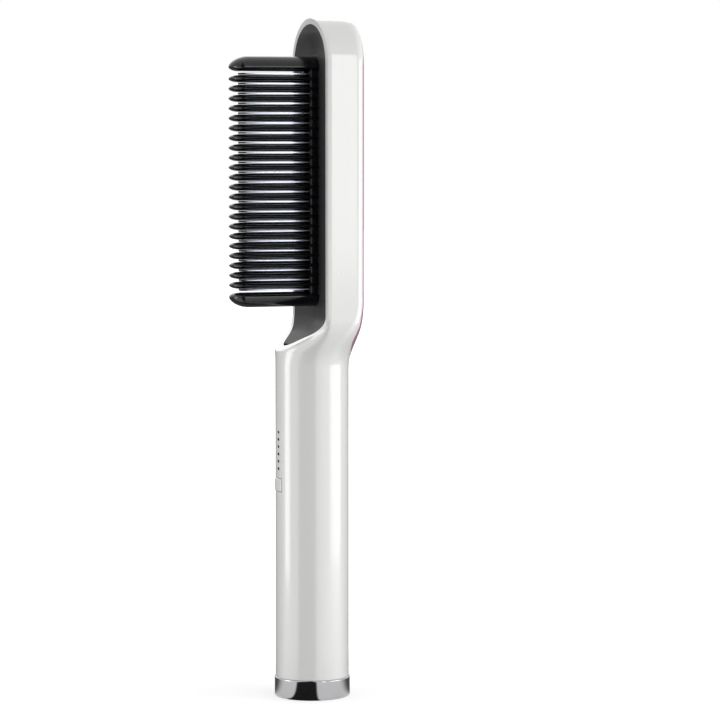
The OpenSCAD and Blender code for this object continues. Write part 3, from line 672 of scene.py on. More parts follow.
def makePanel():
    half, rows = panelRows()
    bm = bmesh.new()
    bmesh.ops.create_grid(bm, x_segments=panel["across"], y_segments=len(rows) - 1, size=1)
    for v in bm.verts:
        z, reach = rows[round((v.co.y + 1) / 2 * (len(rows) - 1))]
        x = max(reach, 0) * v.co.x
        v.co = (x, tool["back"] + panel["proud"] + panel["dome"] * (1 - (x / half) ** 2), z)
    bmesh.ops.remove_doubles(bm, verts=bm.verts, dist=weld)
    thickened(bm, panel["thick"], panel["round"])
    return newPiece("backPanel", bm, "handle", "back_panel")


tray = {
    "gap": 0.2,
    "thick": 1.8,
    "valley": 2.4,
    "valleyFrom": 0.6,      # share of the full width at which the valley starts, and how soon it is full
    "valleyOver": 0.36,
    "valleyPower": 1.4,
    "across": 40,
    "lowShare": 0.97,       # it starts where the scoop is this deep in the front
    "lowStep": 0.05,
    "footRise": 3.0,
    "footRows": 30,
    "footCrowd": 1.2,
    "sideRows": 10,
    "topRows": 24,
    "topAngle": 86.0,
    "round": 0.25,
    "seat": ((-7.7, 1.1, 164.1), (7.7, 3.3, 269.6)),
    "seatRound": 0.3,
}


def trayHalf(z):
    return sideX(z, scoopY(z), tool["wall"] + tray["gap"])


def trayValley(z):
    share = trayHalf(z) / (tool["headR"] - tool["wall"] - tray["gap"])
    return tray["valley"] * ease((share - tray["valleyFrom"]) / tray["valleyOver"])


def trayLevels():
    w = tool["wall"] + tray["gap"]
    low = tool["neckZ"]
    while -scoopY(low) >= tray["lowShare"] * frontReach(low, w):
        low += tray["lowStep"]
    bend = scoopTop + tray["footRise"]
    foot = rowsBetween(low, bend, tray["footRows"], tray["footCrowd"])
    return foot + rowsBetween(bend, springZ, tray["sideRows"]) + rowsOverTop(w, tray["topRows"], tray["topAngle"])


def makeTray():
    levels = trayLevels()
    tall = len(levels) - 1
    bm = bmesh.new()
    bmesh.ops.create_grid(bm, x_segments=tray["across"], y_segments=tall, size=1)
    for v in bm.verts:
        z = levels[round((v.co.y + 1) / 2 * tall)]
        u = v.co.x
        v.co = (trayHalf(z) * u, scoopY(z) + trayValley(z) * (1 - abs(u) ** tray["valleyPower"]), z)
    thickened(bm, tray["thick"], tray["round"], facing=-1)
    softBox(bm, *tray["seat"], tray["seatRound"])
    return newPiece("tray", bm, "handle", "comb_tray")


comb = {
    "blades": 22,
    "pitch": 4.08,
    "middle": 216.85,
    "guardZ": 49.01,        # either side of the middle
    "half": 7.38,
    "thick": 3.1,
    "guardThick": 6.3,
    "reach": 35.88,
    "noseR": 9.03,
    "seatY": 1.08,
    "railFront": -2.3,
    "rail": (3.75, 5.0),
    "rootHalf": 0.6,
    "guardTip": -0.5,       # height of a guard's tip from the line of its inner blade
    "bladeLen": (4.0, 0.50),
    "guardLen": (8.0, 0.62),
    "tipPower": 0.5,        # the section is an ellipse at the tip
    "lensPower": 0.86,      # and a lens behind it
    "guardPower": 0.62,
    "lensAfter": 9.0,
    "around": 32,
    "along": 30,
    "tipCrowd": 2.2,        # rows lie closer at the tip
    "railRound": 0.3,
}


def planHalf(y):
    c = comb
    noseY = c["noseR"] - c["reach"]
    if y >= noseY:
        return c["half"]
    return min(c["half"], math.sqrt(max(c["noseR"] ** 2 - (y - noseY) ** 2, 0)))


# share of the full height at a distance behind the tip
def tipShare(d, length, power):
    t = min(d / length, 1)
    return (1 - (1 - t) ** 2) ** power


def lensHeight(full, cosine, d, power):
    return full * (1 - cosine ** 2) ** mixed(comb["tipPower"], power, ease(d / comb["lensAfter"]))


# one closed leaf: its section is a lens, up and down are its heights at the middle
def leaf(bm, z, up, down, tipZ, downLen, rootDown):
    c = comb
    before = set(bm.verts)
    bmesh.ops.create_grid(bm, x_segments=c["around"], y_segments=c["along"], size=1)
    fresh = [v for v in bm.verts if v not in before]
    for v in fresh:
        a = (v.co.x + 1) * math.pi
        d = ((v.co.y + 1) / 2) ** c["tipCrowd"] * (c["seatY"] + c["reach"])
        y = d - c["reach"]
        root = min(max((y - c["railFront"] + 1) / (c["seatY"] - c["railFront"] + 1), 0), 1)
        cosine, sine = math.cos(a), math.sin(a)
        share = tipShare(d, *c["bladeLen"])
        if abs(sine) < 1e-6:
            height = 0
        elif sine * up > 0:
            full = mixed(abs(up), c["rootHalf"], root)
            height = math.copysign(lensHeight(full, cosine, d, c["lensPower"]), up)
        else:
            full = mixed(abs(down), c["rootHalf"], root) if rootDown else abs(down)
            share = tipShare(d, *downLen)
            power = c["lensPower"] if rootDown else c["guardPower"]
            height = math.copysign(lensHeight(full, cosine, d, power), down)
        v.co = (planHalf(y) * cosine, y, z + mixed(tipZ, height, share))
    bmesh.ops.remove_doubles(bm, verts=fresh, dist=fineWeld)
    ends = [e for e in bm.edges if e.is_boundary]
    bmesh.ops.holes_fill(bm, edges=ends, sides=0)


def makeComb():
    c, bm = comb, bmesh.new()
    half = c["thick"] / 2
    for i in range(c["blades"]):
        leaf(bm, c["middle"] + (i - (c["blades"] - 1) / 2) * c["pitch"], half, -half, 0, c["bladeLen"], True)
    for side in (1, -1):
        z = c["middle"] + side * (c["guardZ"] - c["guardThick"] / 2 + half)
        leaf(bm, z, -side * half, side * (c["guardThick"] - half), side * -c["guardTip"], c["guardLen"], False)
    bmesh.ops.recalc_face_normals(bm, faces=bm.faces)
    low, high = c["middle"] - c["guardZ"], c["middle"] + c["guardZ"]
    for side in (1, -1):
        x = sorted(side * r for r in c["rail"])
        softBox(bm, (x[0], c["railFront"], low), (x[1], c["seatY"], high), c["railRound"])
    return newPiece("comb", bm, "handle", "comb_guard", even=False)


button = {
    "half": (4.2, 2.75),
    "z": 89.9,
    "frontR": 15.7,
    "back": -11.6,
    "round": 0.5,
    "steps": 4,
    "sharp": 0.9,           # radians between the faces at an edge that gets rounded
    "sideDepth": 1.5,       # only the edges along the sides are deeper than this
    "flange": ((-5.2, -11.6, 86.15), (5.2, -10.6, 93.65)),
    "flangeRound": 0.15,
    "stem": (1.4, -10.65, -9.8),
}


def makeButton():
    b = button
    bm = bmesh.new()
    bmesh.ops.create_grid(bm, x_segments=16, y_segments=8, size=1)
    for v in bm.verts:
        x = v.co.x * b["half"][0]
        v.co = (x, -math.sqrt(b["frontR"] ** 2 - x * x), b["z"] + v.co.y * b["half"][1])
    front = list(bm.faces)
    sides = bmesh.ops.extrude_face_region(bm, geom=front)["geom"]
    for v in [g for g in sides if isinstance(g, bmesh.types.BMVert)]:
        v.co.y = b["back"]
    bmesh.ops.recalc_face_normals(bm, faces=bm.faces)
    depths = {e: abs(e.verts[0].co.y - e.verts[1].co.y) for e in bm.edges if e.calc_face_angle(0) > b["sharp"]}
    rim = [e for e, deep in depths.items()
           if deep < b["sideDepth"] and max(v.co.y for v in e.verts) < b["back"] - 1]
    corners = [e for e, deep in depths.items() if deep > b["sideDepth"]]
    roundEdges(bm, rim + corners, b["round"], b["steps"])
    softBox(bm, *b["flange"], b["flangeRound"])
    r, low, high = b["stem"]
    stem = bmesh.ops.create_cone(bm, cap_ends=True, segments=24, radius1=r, radius2=r, depth=high - low)["verts"]
    bmesh.ops.rotate(bm, verts=stem, cent=(0, 0, 0), matrix=Matrix.Rotation(math.pi / 2, 3, "X"))
    bmesh.ops.translate(bm, vec=(0, (low + high) / 2, b["z"]), verts=stem)
    return newPiece("pushButton", bm, "button", "button_cap")


foot = {
    "profile": ((12.2, 0), (15.35, 0), (15.85, 0.5), (15.85, 8.0), (15.45, 8.4), (12.95, 8.4),
                (12.95, 14.0), (11.25, 14.0), (11.25, 8.0), (12.2, 8.0)),
    "steps": 128,
    "round": 0.16,
    "roundSteps": 3,
    "sharp": 0.4,
    "bosses": (2.6, 9.2, 8.1, 14.0),    # radius, distance from the axis, low and high
    "bossTurns": (90, 210, 330),
}


def makeFoot():
    f = foot
    bm = bmesh.new()
    line = [bm.verts.new((r, 0, z)) for r, z in f["profile"]]
    edges = [bm.edges.new((a, b)) for a, b in zip(line, line[1:] + line[:1])]
    bmesh.ops.spin(bm, geom=line + edges, cent=(0, 0, 0), axis=(0, 0, 1), dvec=(0, 0, 0),
                   angle=math.tau, steps=f["steps"], use_merge=True, use_duplicate=False)
    bmesh.ops.remove_doubles(bm, verts=bm.verts, dist=fineWeld)
    bmesh.ops.recalc_face_normals(bm, faces=bm.faces)
    sharp = [e for e in bm.edges if e.is_manifold and e.calc_face_angle(0) > f["sharp"]]
    roundEdges(bm, sharp, f["round"], f["roundSteps"])
    r, away, low, high = f["bosses"]
    for turn in f["bossTurns"]:
        a = math.radians(turn)
        boss = bmesh.ops.create_cone(bm, cap_ends=True, segments=32, radius1=r, radius2=r, depth=high - low)
        bmesh.ops.translate(bm, vec=(away * math.cos(a), away * math.sin(a), (low + high) / 2), verts=boss["verts"])
    return newPiece("footRing", bm, "handle", "base_ring")


pieces = {
    "shell": makeShell(),
    "trimRing": makeRing(),
    "backPanel": makePanel(),
    "tray": makeTray(),
    "comb": makeComb(),
    "pushButton": makeButton(),
    "footRing": makeFoot(),
}
print("pieces made:", ", ".join(f"{n} {len(p.data.polygons)}" for n, p in pieces.items()))

# a shader group with named sockets: inputs as name and value, outputs as name and kind
def newGroup(name, inputs, outputs):
    tree = bpy.data.node_groups.new(name, "ShaderNodeTree")
    for socket, value in inputs:
        kind = "NodeSocketVector" if isinstance(value, tuple) else "NodeSocketFloat"
        tree.interface.new_socket(name=socket, in_out="INPUT", socket_type=kind).default_value = value
    for socket in outputs:
        tree.interface.new_socket(name=socket, in_out="OUTPUT", socket_type="NodeSocketFloat")
    start, end = tree.nodes.new("NodeGroupInput"), tree.nodes.new("NodeGroupOutput")
    return tree, start.outputs, end.inputs


# noise on the piece's own coordinates, turned and then stretched by a vector
def noiseNode(tree, scale, detail=3.0, rough=0.55, stretch=None, turn=None):
    where = ownCoords(tree)
    if turn is not None:
        spin = tree.nodes.new("ShaderNodeMapping")
        spin.inputs["Rotation"].default_value = [math.radians(t) for t in turn]
        tree.links.new(where, spin.inputs["Vector"])
        where = spin.outputs["Vector"]
    if stretch is not None:
        where = vectorNode(tree, "MULTIPLY", where, stretch)
    noise = tree.nodes.new("ShaderNodeTexNoise")
    noise.inputs["Detail"].default_value = detail
    noise.inputs["Roughness"].default_value = rough
    tree.links.new(where, noise.inputs["Vector"])
    if isinstance(scale, (int, float)):
        noise.inputs["Scale"].default_value = scale
    else:
        tree.links.new(scale, noise.inputs["Scale"])
    return noise.outputs["Fac"]


# moulded or cast skin: fine pits and a slow change of tone
def grainGroup():
    tree, a, b = newGroup("mouldedGrain", [("Scale", 1800.0), ("Tone Scale", 45.0)], ["Height", "Tone"])
    fine = noiseNode(tree, a["Scale"], 4, 0.6)
    coarse = noiseNode(tree, mathNode(tree, "MULTIPLY", a["Scale"], 0.17), 2)
    tree.links.new(mathNode(tree, "MULTIPLY_ADD", coarse, 0.6, mathNode(tree, "MULTIPLY", fine, 0.4)), b["Height"])
    slow = noiseNode(tree, a["Tone Scale"], 4, 0.6)
    tree.links.new(mathNode(tree, "SUBTRACT", slow, 0.5), b["Tone"])
    return tree


# the slow waviness of a glossy moulding
def flowGroup():
    tree, a, b = newGroup("glossFlow", [("Scale", 90.0), ("Along", (1.0, 1.0, 0.35))], ["Height"])
    tree.links.new(noiseNode(tree, a["Scale"], 1.5, 0.5, a["Along"]), b["Height"])
    return tree


# faint marks of handling, in patches
def smudgeGroup():
    tree, a, b = newGroup("handlingMarks", [("Scale", 60.0), ("Cover", 0.45)], ["Mask"])
    patch = noiseNode(tree, a["Scale"], 3, 0.5, (1, 1, 0.6))
    streak = noiseNode(tree, mathNode(tree, "MULTIPLY", a["Scale"], 9), 2, 0.5, (1, 1, 0.15), (20, 35, 0))
    low = mathNode(tree, "SUBTRACT", 1.0, a["Cover"])
    high = mathNode(tree, "ADD", low, 0.25)
    mask = rangeNode(tree, patch, low, high)
    tree.links.new(mathNode(tree, "MULTIPLY", mask, mathNode(tree, "MULTIPLY_ADD", streak, 0.8, 0.35)), b["Mask"])
    return tree


# hairline scratches in two directions
def scratchGroup():
    tree, a, b = newGroup("hairScratches", [("Scale", 900.0), ("Cover", 0.12)], ["Mask", "Height"])
    first = noiseNode(tree, a["Scale"], 1, 0.5, (1, 1, 0.03), (0, 8, 0))
    second = noiseNode(tree, mathNode(tree, "MULTIPLY", a["Scale"], 0.8), 1, 0.5, (1, 1, 0.04), (25, -38, 15))
    where = noiseNode(tree, 70, 2)
    low = mathNode(tree, "SUBTRACT", 0.78, a["Cover"])
    high = mathNode(tree, "ADD", low, 0.05)
    lines = mathNode(tree, "MAXIMUM", rangeNode(tree, first, low, high), rangeNode(tree, second, low, high))
    mask = mathNode(tree, "MULTIPLY", lines, rangeNode(tree, where, 0.4, 0.62))
    tree.links.new(mask, b["Mask"])
    tree.links.new(mathNode(tree, "SUBTRACT", 1.0, mask), b["Height"])
    return tree


# wear on raised edges, broken up by noise
def edgeGroup():
    tree, a, b = newGroup("edgeWear", [("Start", 0.52), ("End", 0.60), ("Break Up", 400.0)], ["Mask"])
    point = tree.nodes.new("ShaderNodeNewGeometry").outputs["Pointiness"]
    edge = rangeNode(tree, point, a["Start"], a["End"])
    patch = noiseNode(tree, a["Break Up"], 4, 0.65)
    tree.links.new(mathNode(tree, "MULTIPLY", edge, rangeNode(tree, patch, 0.35, 0.65)), b["Mask"])
    return tree


# dust on what faces up
def dustGroup():
    tree, a, b = newGroup("settledDust", [("Scale", 1400.0), ("Cover", 0.3)], ["Mask"])
    normal = tree.nodes.new("ShaderNodeNewGeometry").outputs["Normal"]
    split = tree.nodes.new("ShaderNodeSeparateXYZ")
    tree.links.new(normal, split.inputs[0])
    up = rangeNode(tree, split.outputs["Z"], 0.1, 0.95)
    specks = noiseNode(tree, a["Scale"], 2, 0.7)
    patch = noiseNode(tree, 50, 3)
    low = mathNode(tree, "SUBTRACT", 0.8, a["Cover"])
    spread = mathNode(tree, "MULTIPLY", rangeNode(tree, specks, low, mathNode(tree, "ADD", low, 0.15)), patch)
    tree.links.new(mathNode(tree, "MULTIPLY", spread, up), b["Mask"])
    return tree


# fine parallel lines left by rolling, drawing or turning
def drawnGroup():
    tree, a, b = newGroup("drawnLines", [("Scale", 2200.0), ("Along", (1.0, 0.02, 1.0))], ["Height", "Tone"])
    lines = noiseNode(tree, a["Scale"], 2, 0.5, a["Along"])
    tree.links.new(lines, b["Height"])
    tree.links.new(mathNode(tree, "SUBTRACT", lines, 0.5), b["Tone"])
    return tree


# small flakes or crystals, each with its own tone
def flakeGroup():
    tree, a, b = newGroup("flakes", [("Scale", 9000.0)], ["Tone"])
    cell = tree.nodes.new("ShaderNodeTexVoronoi")
    tree.links.new(ownCoords(tree), cell.inputs["Vector"])
    tree.links.new(a["Scale"], cell.inputs["Scale"])
    split = tree.nodes.new("ShaderNodeSeparateColor")
    tree.links.new(cell.outputs["Color"], split.inputs[0])
    tree.links.new(mathNode(tree, "SUBTRACT", split.outputs[0], 0.5), b["Tone"])
    return tree


groups = {
    "grain": grainGroup(),
    "flow": flowGroup(),
    "smudge": smudgeGroup(),
    "scratch": scratchGroup(),
    "edge": edgeGroup(),
    "dust": dustGroup(),
    "drawn": drawnGroup(),
    "flake": flakeGroup(),
}
print("shader groups made:", ", ".join(groups))


def placed(tree, name, **values):
    node = tree.nodes.new("ShaderNodeGroup")
    node.node_tree = groups[name]
    for socket, value in values.items():
        node.inputs[socket.replace("_", " ")].default_value = value
    return node.outputs


def mixColour(tree, amount, first, second, blend="MIX"):
    node = tree.nodes.new("ShaderNodeMix")
    node.data_type = "RGBA"
    node.blend_type = blend
    # 6 and 7 are the node's two colour sockets
    for socket, value in ((node.inputs[0], amount), (node.inputs[6], first), (node.inputs[7], second)):
        if isinstance(value, (int, float, tuple)):
            socket.default_value = (*value, 1) if isinstance(value, tuple) else value
        else:
            tree.links.new(value, socket)
    return node.outputs[2]


# tone: how far a slow noise moves the colour; grain and peel: scale, depth; drawn: scale, stretch, depth, tone;
# flake and weave: scale, tone; smudge: scale, roughness; scratch: scale, cover, roughness;
# edge and dust: colour, amount; crestHighlight, in metres: where the painted highlight lines on the fins run, and
# how far the rest of each fin is darkened
finishes = {
    "whiteGloss": dict(colour=(0.80, 0.80, 0.79), rough=0.22, specular=0.5, coat=0.8, coatRough=0.10,
        grain=(2400, 0.003), tone=0.02, peel=(110, 0.05), smudge=(55, 0.10), scratch=(900, 0.10, 0.048),
        edge=((0.72, 0.72, 0.70), 0.35), dust=((0.62, 0.60, 0.57), 0.25)),
    "whiteButton": dict(colour=(0.77, 0.77, 0.76), rough=0.26, coat=0.4, coatRough=0.10, grain=(3200, 0.004),
        tone=0.02, peel=(200, 0.03), smudge=(220, 0.16), scratch=(1400, 0.10, 0.10),
        edge=((0.66, 0.65, 0.62), 0.5)),
    "mauveGloss": dict(colour=(0.42, 0.150, 0.275), rough=0.22, coat=0.9, coatRough=0.05, flake=(7000, 0.10),
        tone=0.06, peel=(140, 0.04), smudge=(60, 0.10), scratch=(1000, 0.10, 0.10),
        edge=((0.60, 0.33, 0.45), 0.5), dust=((0.62, 0.58, 0.58), 0.2)),
    "satinPlate": dict(colour=(0.47, 0.475, 0.495), rough=0.42, metal=0.12, specular=0.35, flake=(11000, 0.10),
        drawn=(2600, (1, 1, 0.02), 0.010, 0.05), tone=0.03, smudge=(45, 0.10), scratch=(900, 0.11, 0.12),
        edge=((0.72, 0.72, 0.74), 0.5), dust=((0.6, 0.58, 0.55), 0.2)),
    "darkSatin": dict(colour=(0.046, 0.046, 0.049), rough=0.44, specular=0.12, grain=(2600, 0.020), tone=0.25,
        smudge=(80, 0.12), scratch=(1100, 0.11, 0.12), edge=((0.05, 0.05, 0.052), 0.6),
        dust=((0.16, 0.155, 0.15), 0.35)),
    "blackGloss": dict(colour=(0.004, 0.004, 0.006), rough=0.14, specular=0.42, grain=(3000, 0.003), tone=0.2,
        peel=(260, 0.03), smudge=(90, 0.12), scratch=(1200, 0.11, 0.10), edge=((0.045, 0.045, 0.05), 0.5),
        dust=((0.20, 0.19, 0.18), 0.25)),
    # the fins' bright bluish colour is a painted highlight: it stays only in a thin line along each fin, and the
    # rest of each fin is darkened to the near-black shade colour
    "coatedFinPaintedHighlight": dict(colour=(0.60, 0.64, 0.76), rough=0.28, metal=1.0,
        crestHighlight=dict(middle=(0.0, -0.0135, 0.21685), pitch=0.00408, half=0.00031, reach=0.0170,
                   core=0.45, darken=0.97, shade=(0.02, 0.02, 0.024)),
        drawn=(3000, (1, 0.03, 1), 0.012, 0.10), tone=0.08, smudge=(120, 0.14), scratch=(1500, 0.13, 0.12)),
    "blackChrome": dict(colour=(0.46, 0.46, 0.47), rough=0.07, metal=1.0,
        drawn=(1500, (0.06, 0.06, 1), 0.002, 0.05), tone=0.05, smudge=(70, 0.10), scratch=(1000, 0.12, 0.10),
        edge=((0.80, 0.79, 0.77), 0.4), dust=((0.35, 0.34, 0.32), 0.2)),
    "darkPlastic": dict(colour=(0.020, 0.020, 0.022), rough=0.48, grain=(1700, 0.04), tone=0.3,
        smudge=(70, 0.10), scratch=(900, 0.14, 0.14)),
    "swivelBlack": dict(colour=(0.014, 0.014, 0.015), rough=0.34, grain=(2200, 0.02), tone=0.3,
        drawn=(1700, (0.08, 0.08, 1), 0.006, 0.1), smudge=(90, 0.14), scratch=(1100, 0.16, 0.14)),
    "smokedGuide": dict(colour=(0.018, 0.018, 0.020), rough=0.12, grain=(2800, 0.004), tone=0.3,
        smudge=(300, 0.14), scratch=(1500, 0.10, 0.08)),
    "steel": dict(colour=(0.55, 0.55, 0.56), rough=0.30, metal=1.0, drawn=(3200, (1, 1, 0.1), 0.010, 0.12),
        tone=0.10, smudge=(200, 0.14), scratch=(1800, 0.16, 0.12)),
    "springSteel": dict(colour=(0.42, 0.43, 0.45), rough=0.26, metal=1.0,
        drawn=(2600, (1, 1, 0.2), 0.008, 0.12), tone=0.12, scratch=(1800, 0.16, 0.1)),
    "platedSteel": dict(colour=(0.60, 0.60, 0.57), rough=0.34, metal=1.0, flake=(2200, 0.10), grain=(900, 0.01),
        tone=0.10, smudge=(60, 0.16), scratch=(900, 0.15, 0.14)),
    "brass": dict(colour=(0.66, 0.44, 0.17), rough=0.26, metal=1.0, drawn=(3000, (0.1, 0.1, 1), 0.008, 0.10),
        tone=0.12, smudge=(150, 0.16), scratch=(1500, 0.14, 0.12)),
    "amberFilm": dict(colour=(0.52, 0.20, 0.03), rough=0.22, coat=0.4, coatRough=0.1, grain=(1800, 0.004),
        tone=0.15, smudge=(90, 0.12), scratch=(900, 0.13, 0.1)),
    "ceramic": dict(colour=(0.17, 0.18, 0.20), rough=0.62, flake=(5200, 0.22), grain=(3600, 0.03), tone=0.12,
        scratch=(1200, 0.12, 0.1)),
    "glassBead": dict(colour=(0.015, 0.010, 0.009), rough=0.10, coat=0.8, coatRough=0.04, grain=(2600, 0.006),
        tone=0.3),
    "fuseSleeve": dict(colour=(0.72, 0.70, 0.60), rough=0.55, drawn=(2600, (1, 1, 0.05), 0.03, 0.12), tone=0.08,
        scratch=(1200, 0.12, 0.1)),
    "boardGreen": dict(colour=(0.012, 0.085, 0.035), rough=0.32, coat=0.4, coatRough=0.15, weave=(1150, 0.30),
        grain=(3000, 0.006), tone=0.15, scratch=(900, 0.1, 0.1)),
    "chipBlack": dict(colour=(0.018, 0.018, 0.019), rough=0.55, grain=(4200, 0.03), tone=0.2),
    "yellowBox": dict(colour=(0.56, 0.40, 0.05), rough=0.36, grain=(2200, 0.01), tone=0.08, smudge=(120, 0.12),
        scratch=(1200, 0.12, 0.1)),
    "blueSleeve": dict(colour=(0.022, 0.030, 0.110), rough=0.30, coat=0.5, coatRough=0.12, grain=(1500, 0.006),
        tone=0.12, scratch=(1200, 0.12, 0.1)),
    "lampLens": dict(colour=(0.62, 0.06, 0.04), rough=0.16, coat=0.6, coatRough=0.05, grain=(3600, 0.004),
        tone=0.12),
    "greyFrame": dict(colour=(0.50, 0.51, 0.50), rough=0.50, grain=(1700, 0.04), tone=0.06, smudge=(60, 0.12),
        scratch=(900, 0.13, 0.12)),
    "fibreBoard": dict(colour=(0.26, 0.21, 0.14), rough=0.62, weave=(900, 0.35), grain=(2400, 0.03), tone=0.12,
        scratch=(900, 0.13, 0.12)),
    "redLead": dict(colour=(0.50, 0.022, 0.016), rough=0.46, drawn=(1600, (1, 1, 0.06), 0.02, 0.08), tone=0.10,
        dust=((0.5, 0.4, 0.38), 0.3)),
    "clearLead": dict(colour=(0.66, 0.66, 0.60), rough=0.30, drawn=(1900, (1, 1, 0.06), 0.015, 0.08), tone=0.08,
        dust=((0.5, 0.49, 0.46), 0.3)),
    "brownLead": dict(colour=(0.10, 0.045, 0.018), rough=0.44, drawn=(1600, (1, 1, 0.06), 0.02, 0.10),
        tone=0.12, dust=((0.35, 0.3, 0.26), 0.3)),
}


marks = {
    "grainRough": 0.10,     # what each effect adds to the roughness where it is strongest
    "drawnRough": 0.12,
    "edgeRough": 0.15,
    "dustRough": 0.4,
    "weaveDepth": 0.01,     # and to the height
    "scratchDepth": 0.004,
    "bump": 0.0005,         # m for a height of 1
}


def scaled(tree, value, factor):
    return mathNode(tree, "MULTIPLY", value, factor)


def summed(tree, values):
    total = values[0]
    for value in values[1:]:
        total = mathNode(tree, "ADD", total, value)
    return total


# woven glass or paper under a resin
def weaveMask(tree, scale):
    where = ownCoords(tree)
    waves = []
    for axis in ("X", "Z"):
        wave = tree.nodes.new("ShaderNodeTexWave")
        wave.bands_direction = axis
        wave.inputs["Scale"].default_value = scale
        wave.inputs["Distortion"].default_value = 0.6
        tree.links.new(where, wave.inputs["Vector"])
        waves.append(wave.outputs["Fac"])
    return mathNode(tree, "SUBTRACT", mathNode(tree, "MULTIPLY", *waves), 0.3)


# 1 on the painted highlight line along each fin's ridge, narrower towards both ends
def crestHighlightMask(tree, c):
    split = tree.nodes.new("ShaderNodeSeparateXYZ")
    tree.links.new(vectorNode(tree, "SUBTRACT", ownCoords(tree), c["middle"]), split.inputs[0])
    off = mathNode(tree, "PINGPONG", split.outputs["Z"], c["pitch"] / 2)
    along = mathNode(tree, "DIVIDE", split.outputs["Y"], c["reach"])
    taper = mathNode(tree, "SUBTRACT", 1.0, mathNode(tree, "MULTIPLY", along, along), clamp=True)
    wide = mathNode(tree, "MULTIPLY", taper, c["half"])
    return rangeNode(tree, off, wide, mathNode(tree, "MULTIPLY", wide, c["core"]), smooth=True)


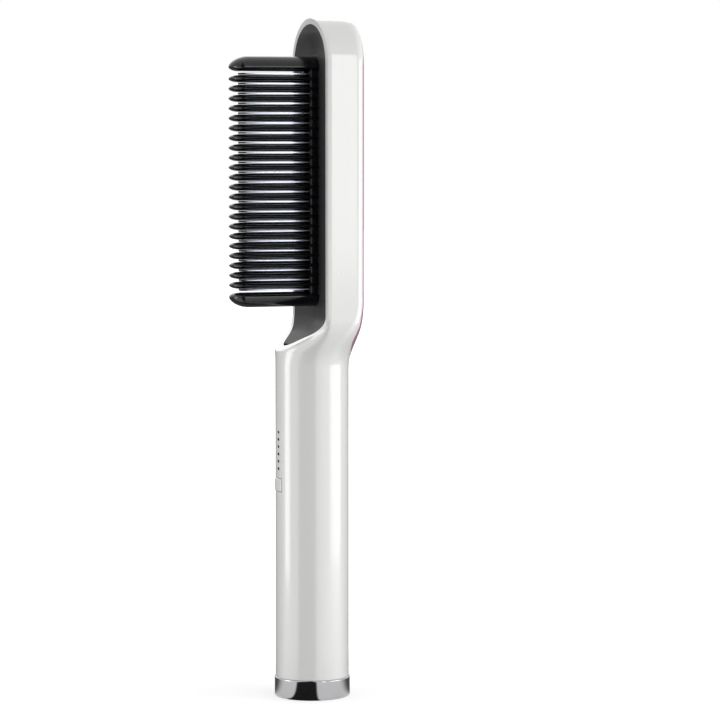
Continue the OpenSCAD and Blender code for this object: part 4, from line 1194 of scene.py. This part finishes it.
def makeFinish(name, f):
    mat = bpy.data.materials.new(name)
    mat.use_nodes = True
    tree = mat.node_tree
    shader = tree.nodes["Principled BSDF"]
    shader.inputs["Metallic"].default_value = f.get("metal", 0.0)
    shader.inputs["Specular IOR Level"].default_value = f.get("specular", 0.5)
    shader.inputs["Coat Weight"].default_value = f.get("coat", 0.0)
    shader.inputs["Coat Roughness"].default_value = f.get("coatRough", 0.03)
    tones, heights, rough = [], [], []
    if "grain" in f:
        scale, depth = f["grain"]
        grain = placed(tree, "grain", Scale=scale)
        heights.append(scaled(tree, grain["Height"], depth))
        tones.append(scaled(tree, grain["Tone"], f["tone"]))
        rough.append(scaled(tree, grain["Tone"], marks["grainRough"]))
    else:
        tones.append(scaled(tree, placed(tree, "grain")["Tone"], f["tone"]))
    if "peel" in f:
        scale, depth = f["peel"]
        heights.append(scaled(tree, placed(tree, "flow", Scale=scale)["Height"], depth))
    if "drawn" in f:
        scale, along, depth, tone = f["drawn"]
        drawn = placed(tree, "drawn", Scale=scale, Along=along)
        heights.append(scaled(tree, drawn["Height"], depth))
        tones.append(scaled(tree, drawn["Tone"], tone))
        rough.append(scaled(tree, drawn["Tone"], marks["drawnRough"]))
    if "flake" in f:
        scale, tone = f["flake"]
        tones.append(scaled(tree, placed(tree, "flake", Scale=scale)["Tone"], tone))
    if "weave" in f:
        scale, tone = f["weave"]
        weave = weaveMask(tree, scale)
        tones.append(scaled(tree, weave, tone))
        heights.append(scaled(tree, weave, marks["weaveDepth"]))
    if "smudge" in f:
        scale, amount = f["smudge"]
        rough.append(scaled(tree, placed(tree, "smudge", Scale=scale)["Mask"], amount))
    factor = mathNode(tree, "ADD", summed(tree, tones), 1.0)
    result = mixColour(tree, 1.0, f["colour"], greyNode(tree, factor), "MULTIPLY")
    # painted highlight: outside the thin line on each fin, the colour is darkened to the shade colour
    if "crestHighlight" in f:
        between = mathNode(tree, "SUBTRACT", 1.0, crestHighlightMask(tree, f["crestHighlight"]))
        result = mixColour(tree, scaled(tree, between, f["crestHighlight"]["darken"]), result, f["crestHighlight"]["shade"])
    if "scratch" in f:
        scale, cover, amount = f["scratch"]
        scratch = placed(tree, "scratch", Scale=scale, Cover=cover)
        rough.append(scaled(tree, scratch["Mask"], amount))
        heights.append(scaled(tree, scratch["Height"], marks["scratchDepth"]))
    if "edge" in f:
        worn, amount = f["edge"]
        edge = scaled(tree, placed(tree, "edge")["Mask"], amount)
        result = mixColour(tree, edge, result, worn)
        rough.append(scaled(tree, edge, marks["edgeRough"]))
    if "dust" in f:
        grey, amount = f["dust"]
        dust = scaled(tree, placed(tree, "dust")["Mask"], amount)
        result = mixColour(tree, dust, result, grey)
        rough.append(scaled(tree, dust, marks["dustRough"]))
    tree.links.new(result, shader.inputs["Base Color"])
    roughness = mathNode(tree, "ADD", summed(tree, rough), f["rough"], clamp=True)
    tree.links.new(roughness, shader.inputs["Roughness"])
    bump = tree.nodes.new("ShaderNodeBump")
    bump.inputs["Distance"].default_value = marks["bump"]
    bump.inputs["Strength"].default_value = 1.0
    tree.links.new(summed(tree, heights), bump.inputs["Height"])
    tree.links.new(bump.outputs["Normal"], shader.inputs["Normal"])
    return mat


materials = {name: makeFinish(name, f) for name, f in finishes.items()}

finishOf = {
    "shell": "whiteGloss", "trimRing": "mauveGloss", "backPanel": "satinPlate", "tray": "darkSatin",
    "comb": "blackGloss", "pushButton": "whiteButton", "footRing": "blackChrome",
    "heating_fins": "coatedFinPaintedHighlight", "insulating_film": "amberFilm", "ceramic_heaters": "ceramic",
    "heater_clamp": "platedSteel", "clamp_screws": "steel", "heat_shield": "platedSteel",
    "thermal_fuse": "fuseSleeve", "thermistor": "glassBead", "tray_screws": "steel", "tact_switch": "chipBlack",
    "light_guide": "smokedGuide", "indicator_lamps": "lampLens", "circuit_board": "boardGreen",
    "board_screws": "steel", "controller_chip": "chipBlack", "triac": "chipBlack",
    "film_capacitor": "yellowBox", "smoothing_capacitor": "blueSleeve", "chassis": "greyFrame",
    "heater_leads": "redLead", "sensor_leads": "clearLead", "mains_leads": "brownLead",
    "base_cap": "darkPlastic", "foot_screws": "steel", "cord_swivel": "swivelBlack",
    "swivel_clip": "springSteel", "slip_rings": "brass", "contact_carrier": "fibreBoard",
    "slip_contacts": "brass",
    # the CAD nodes that the new pieces stand in for
    "housing": "whiteGloss", "trim_ring": "mauveGloss", "back_panel": "satinPlate", "comb_tray": "darkSatin",
    "comb_guard": "blackGloss", "button_cap": "whiteButton", "base_ring": "blackChrome",
}

for name, finish in finishOf.items():
    piece = pieces.get(name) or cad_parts[name]
    if not piece.material_slots:
        piece.data.materials.append(materials[finish])
    for slot in piece.material_slots:
        slot.material = materials[finish]
print("finishes given:", len(finishOf))
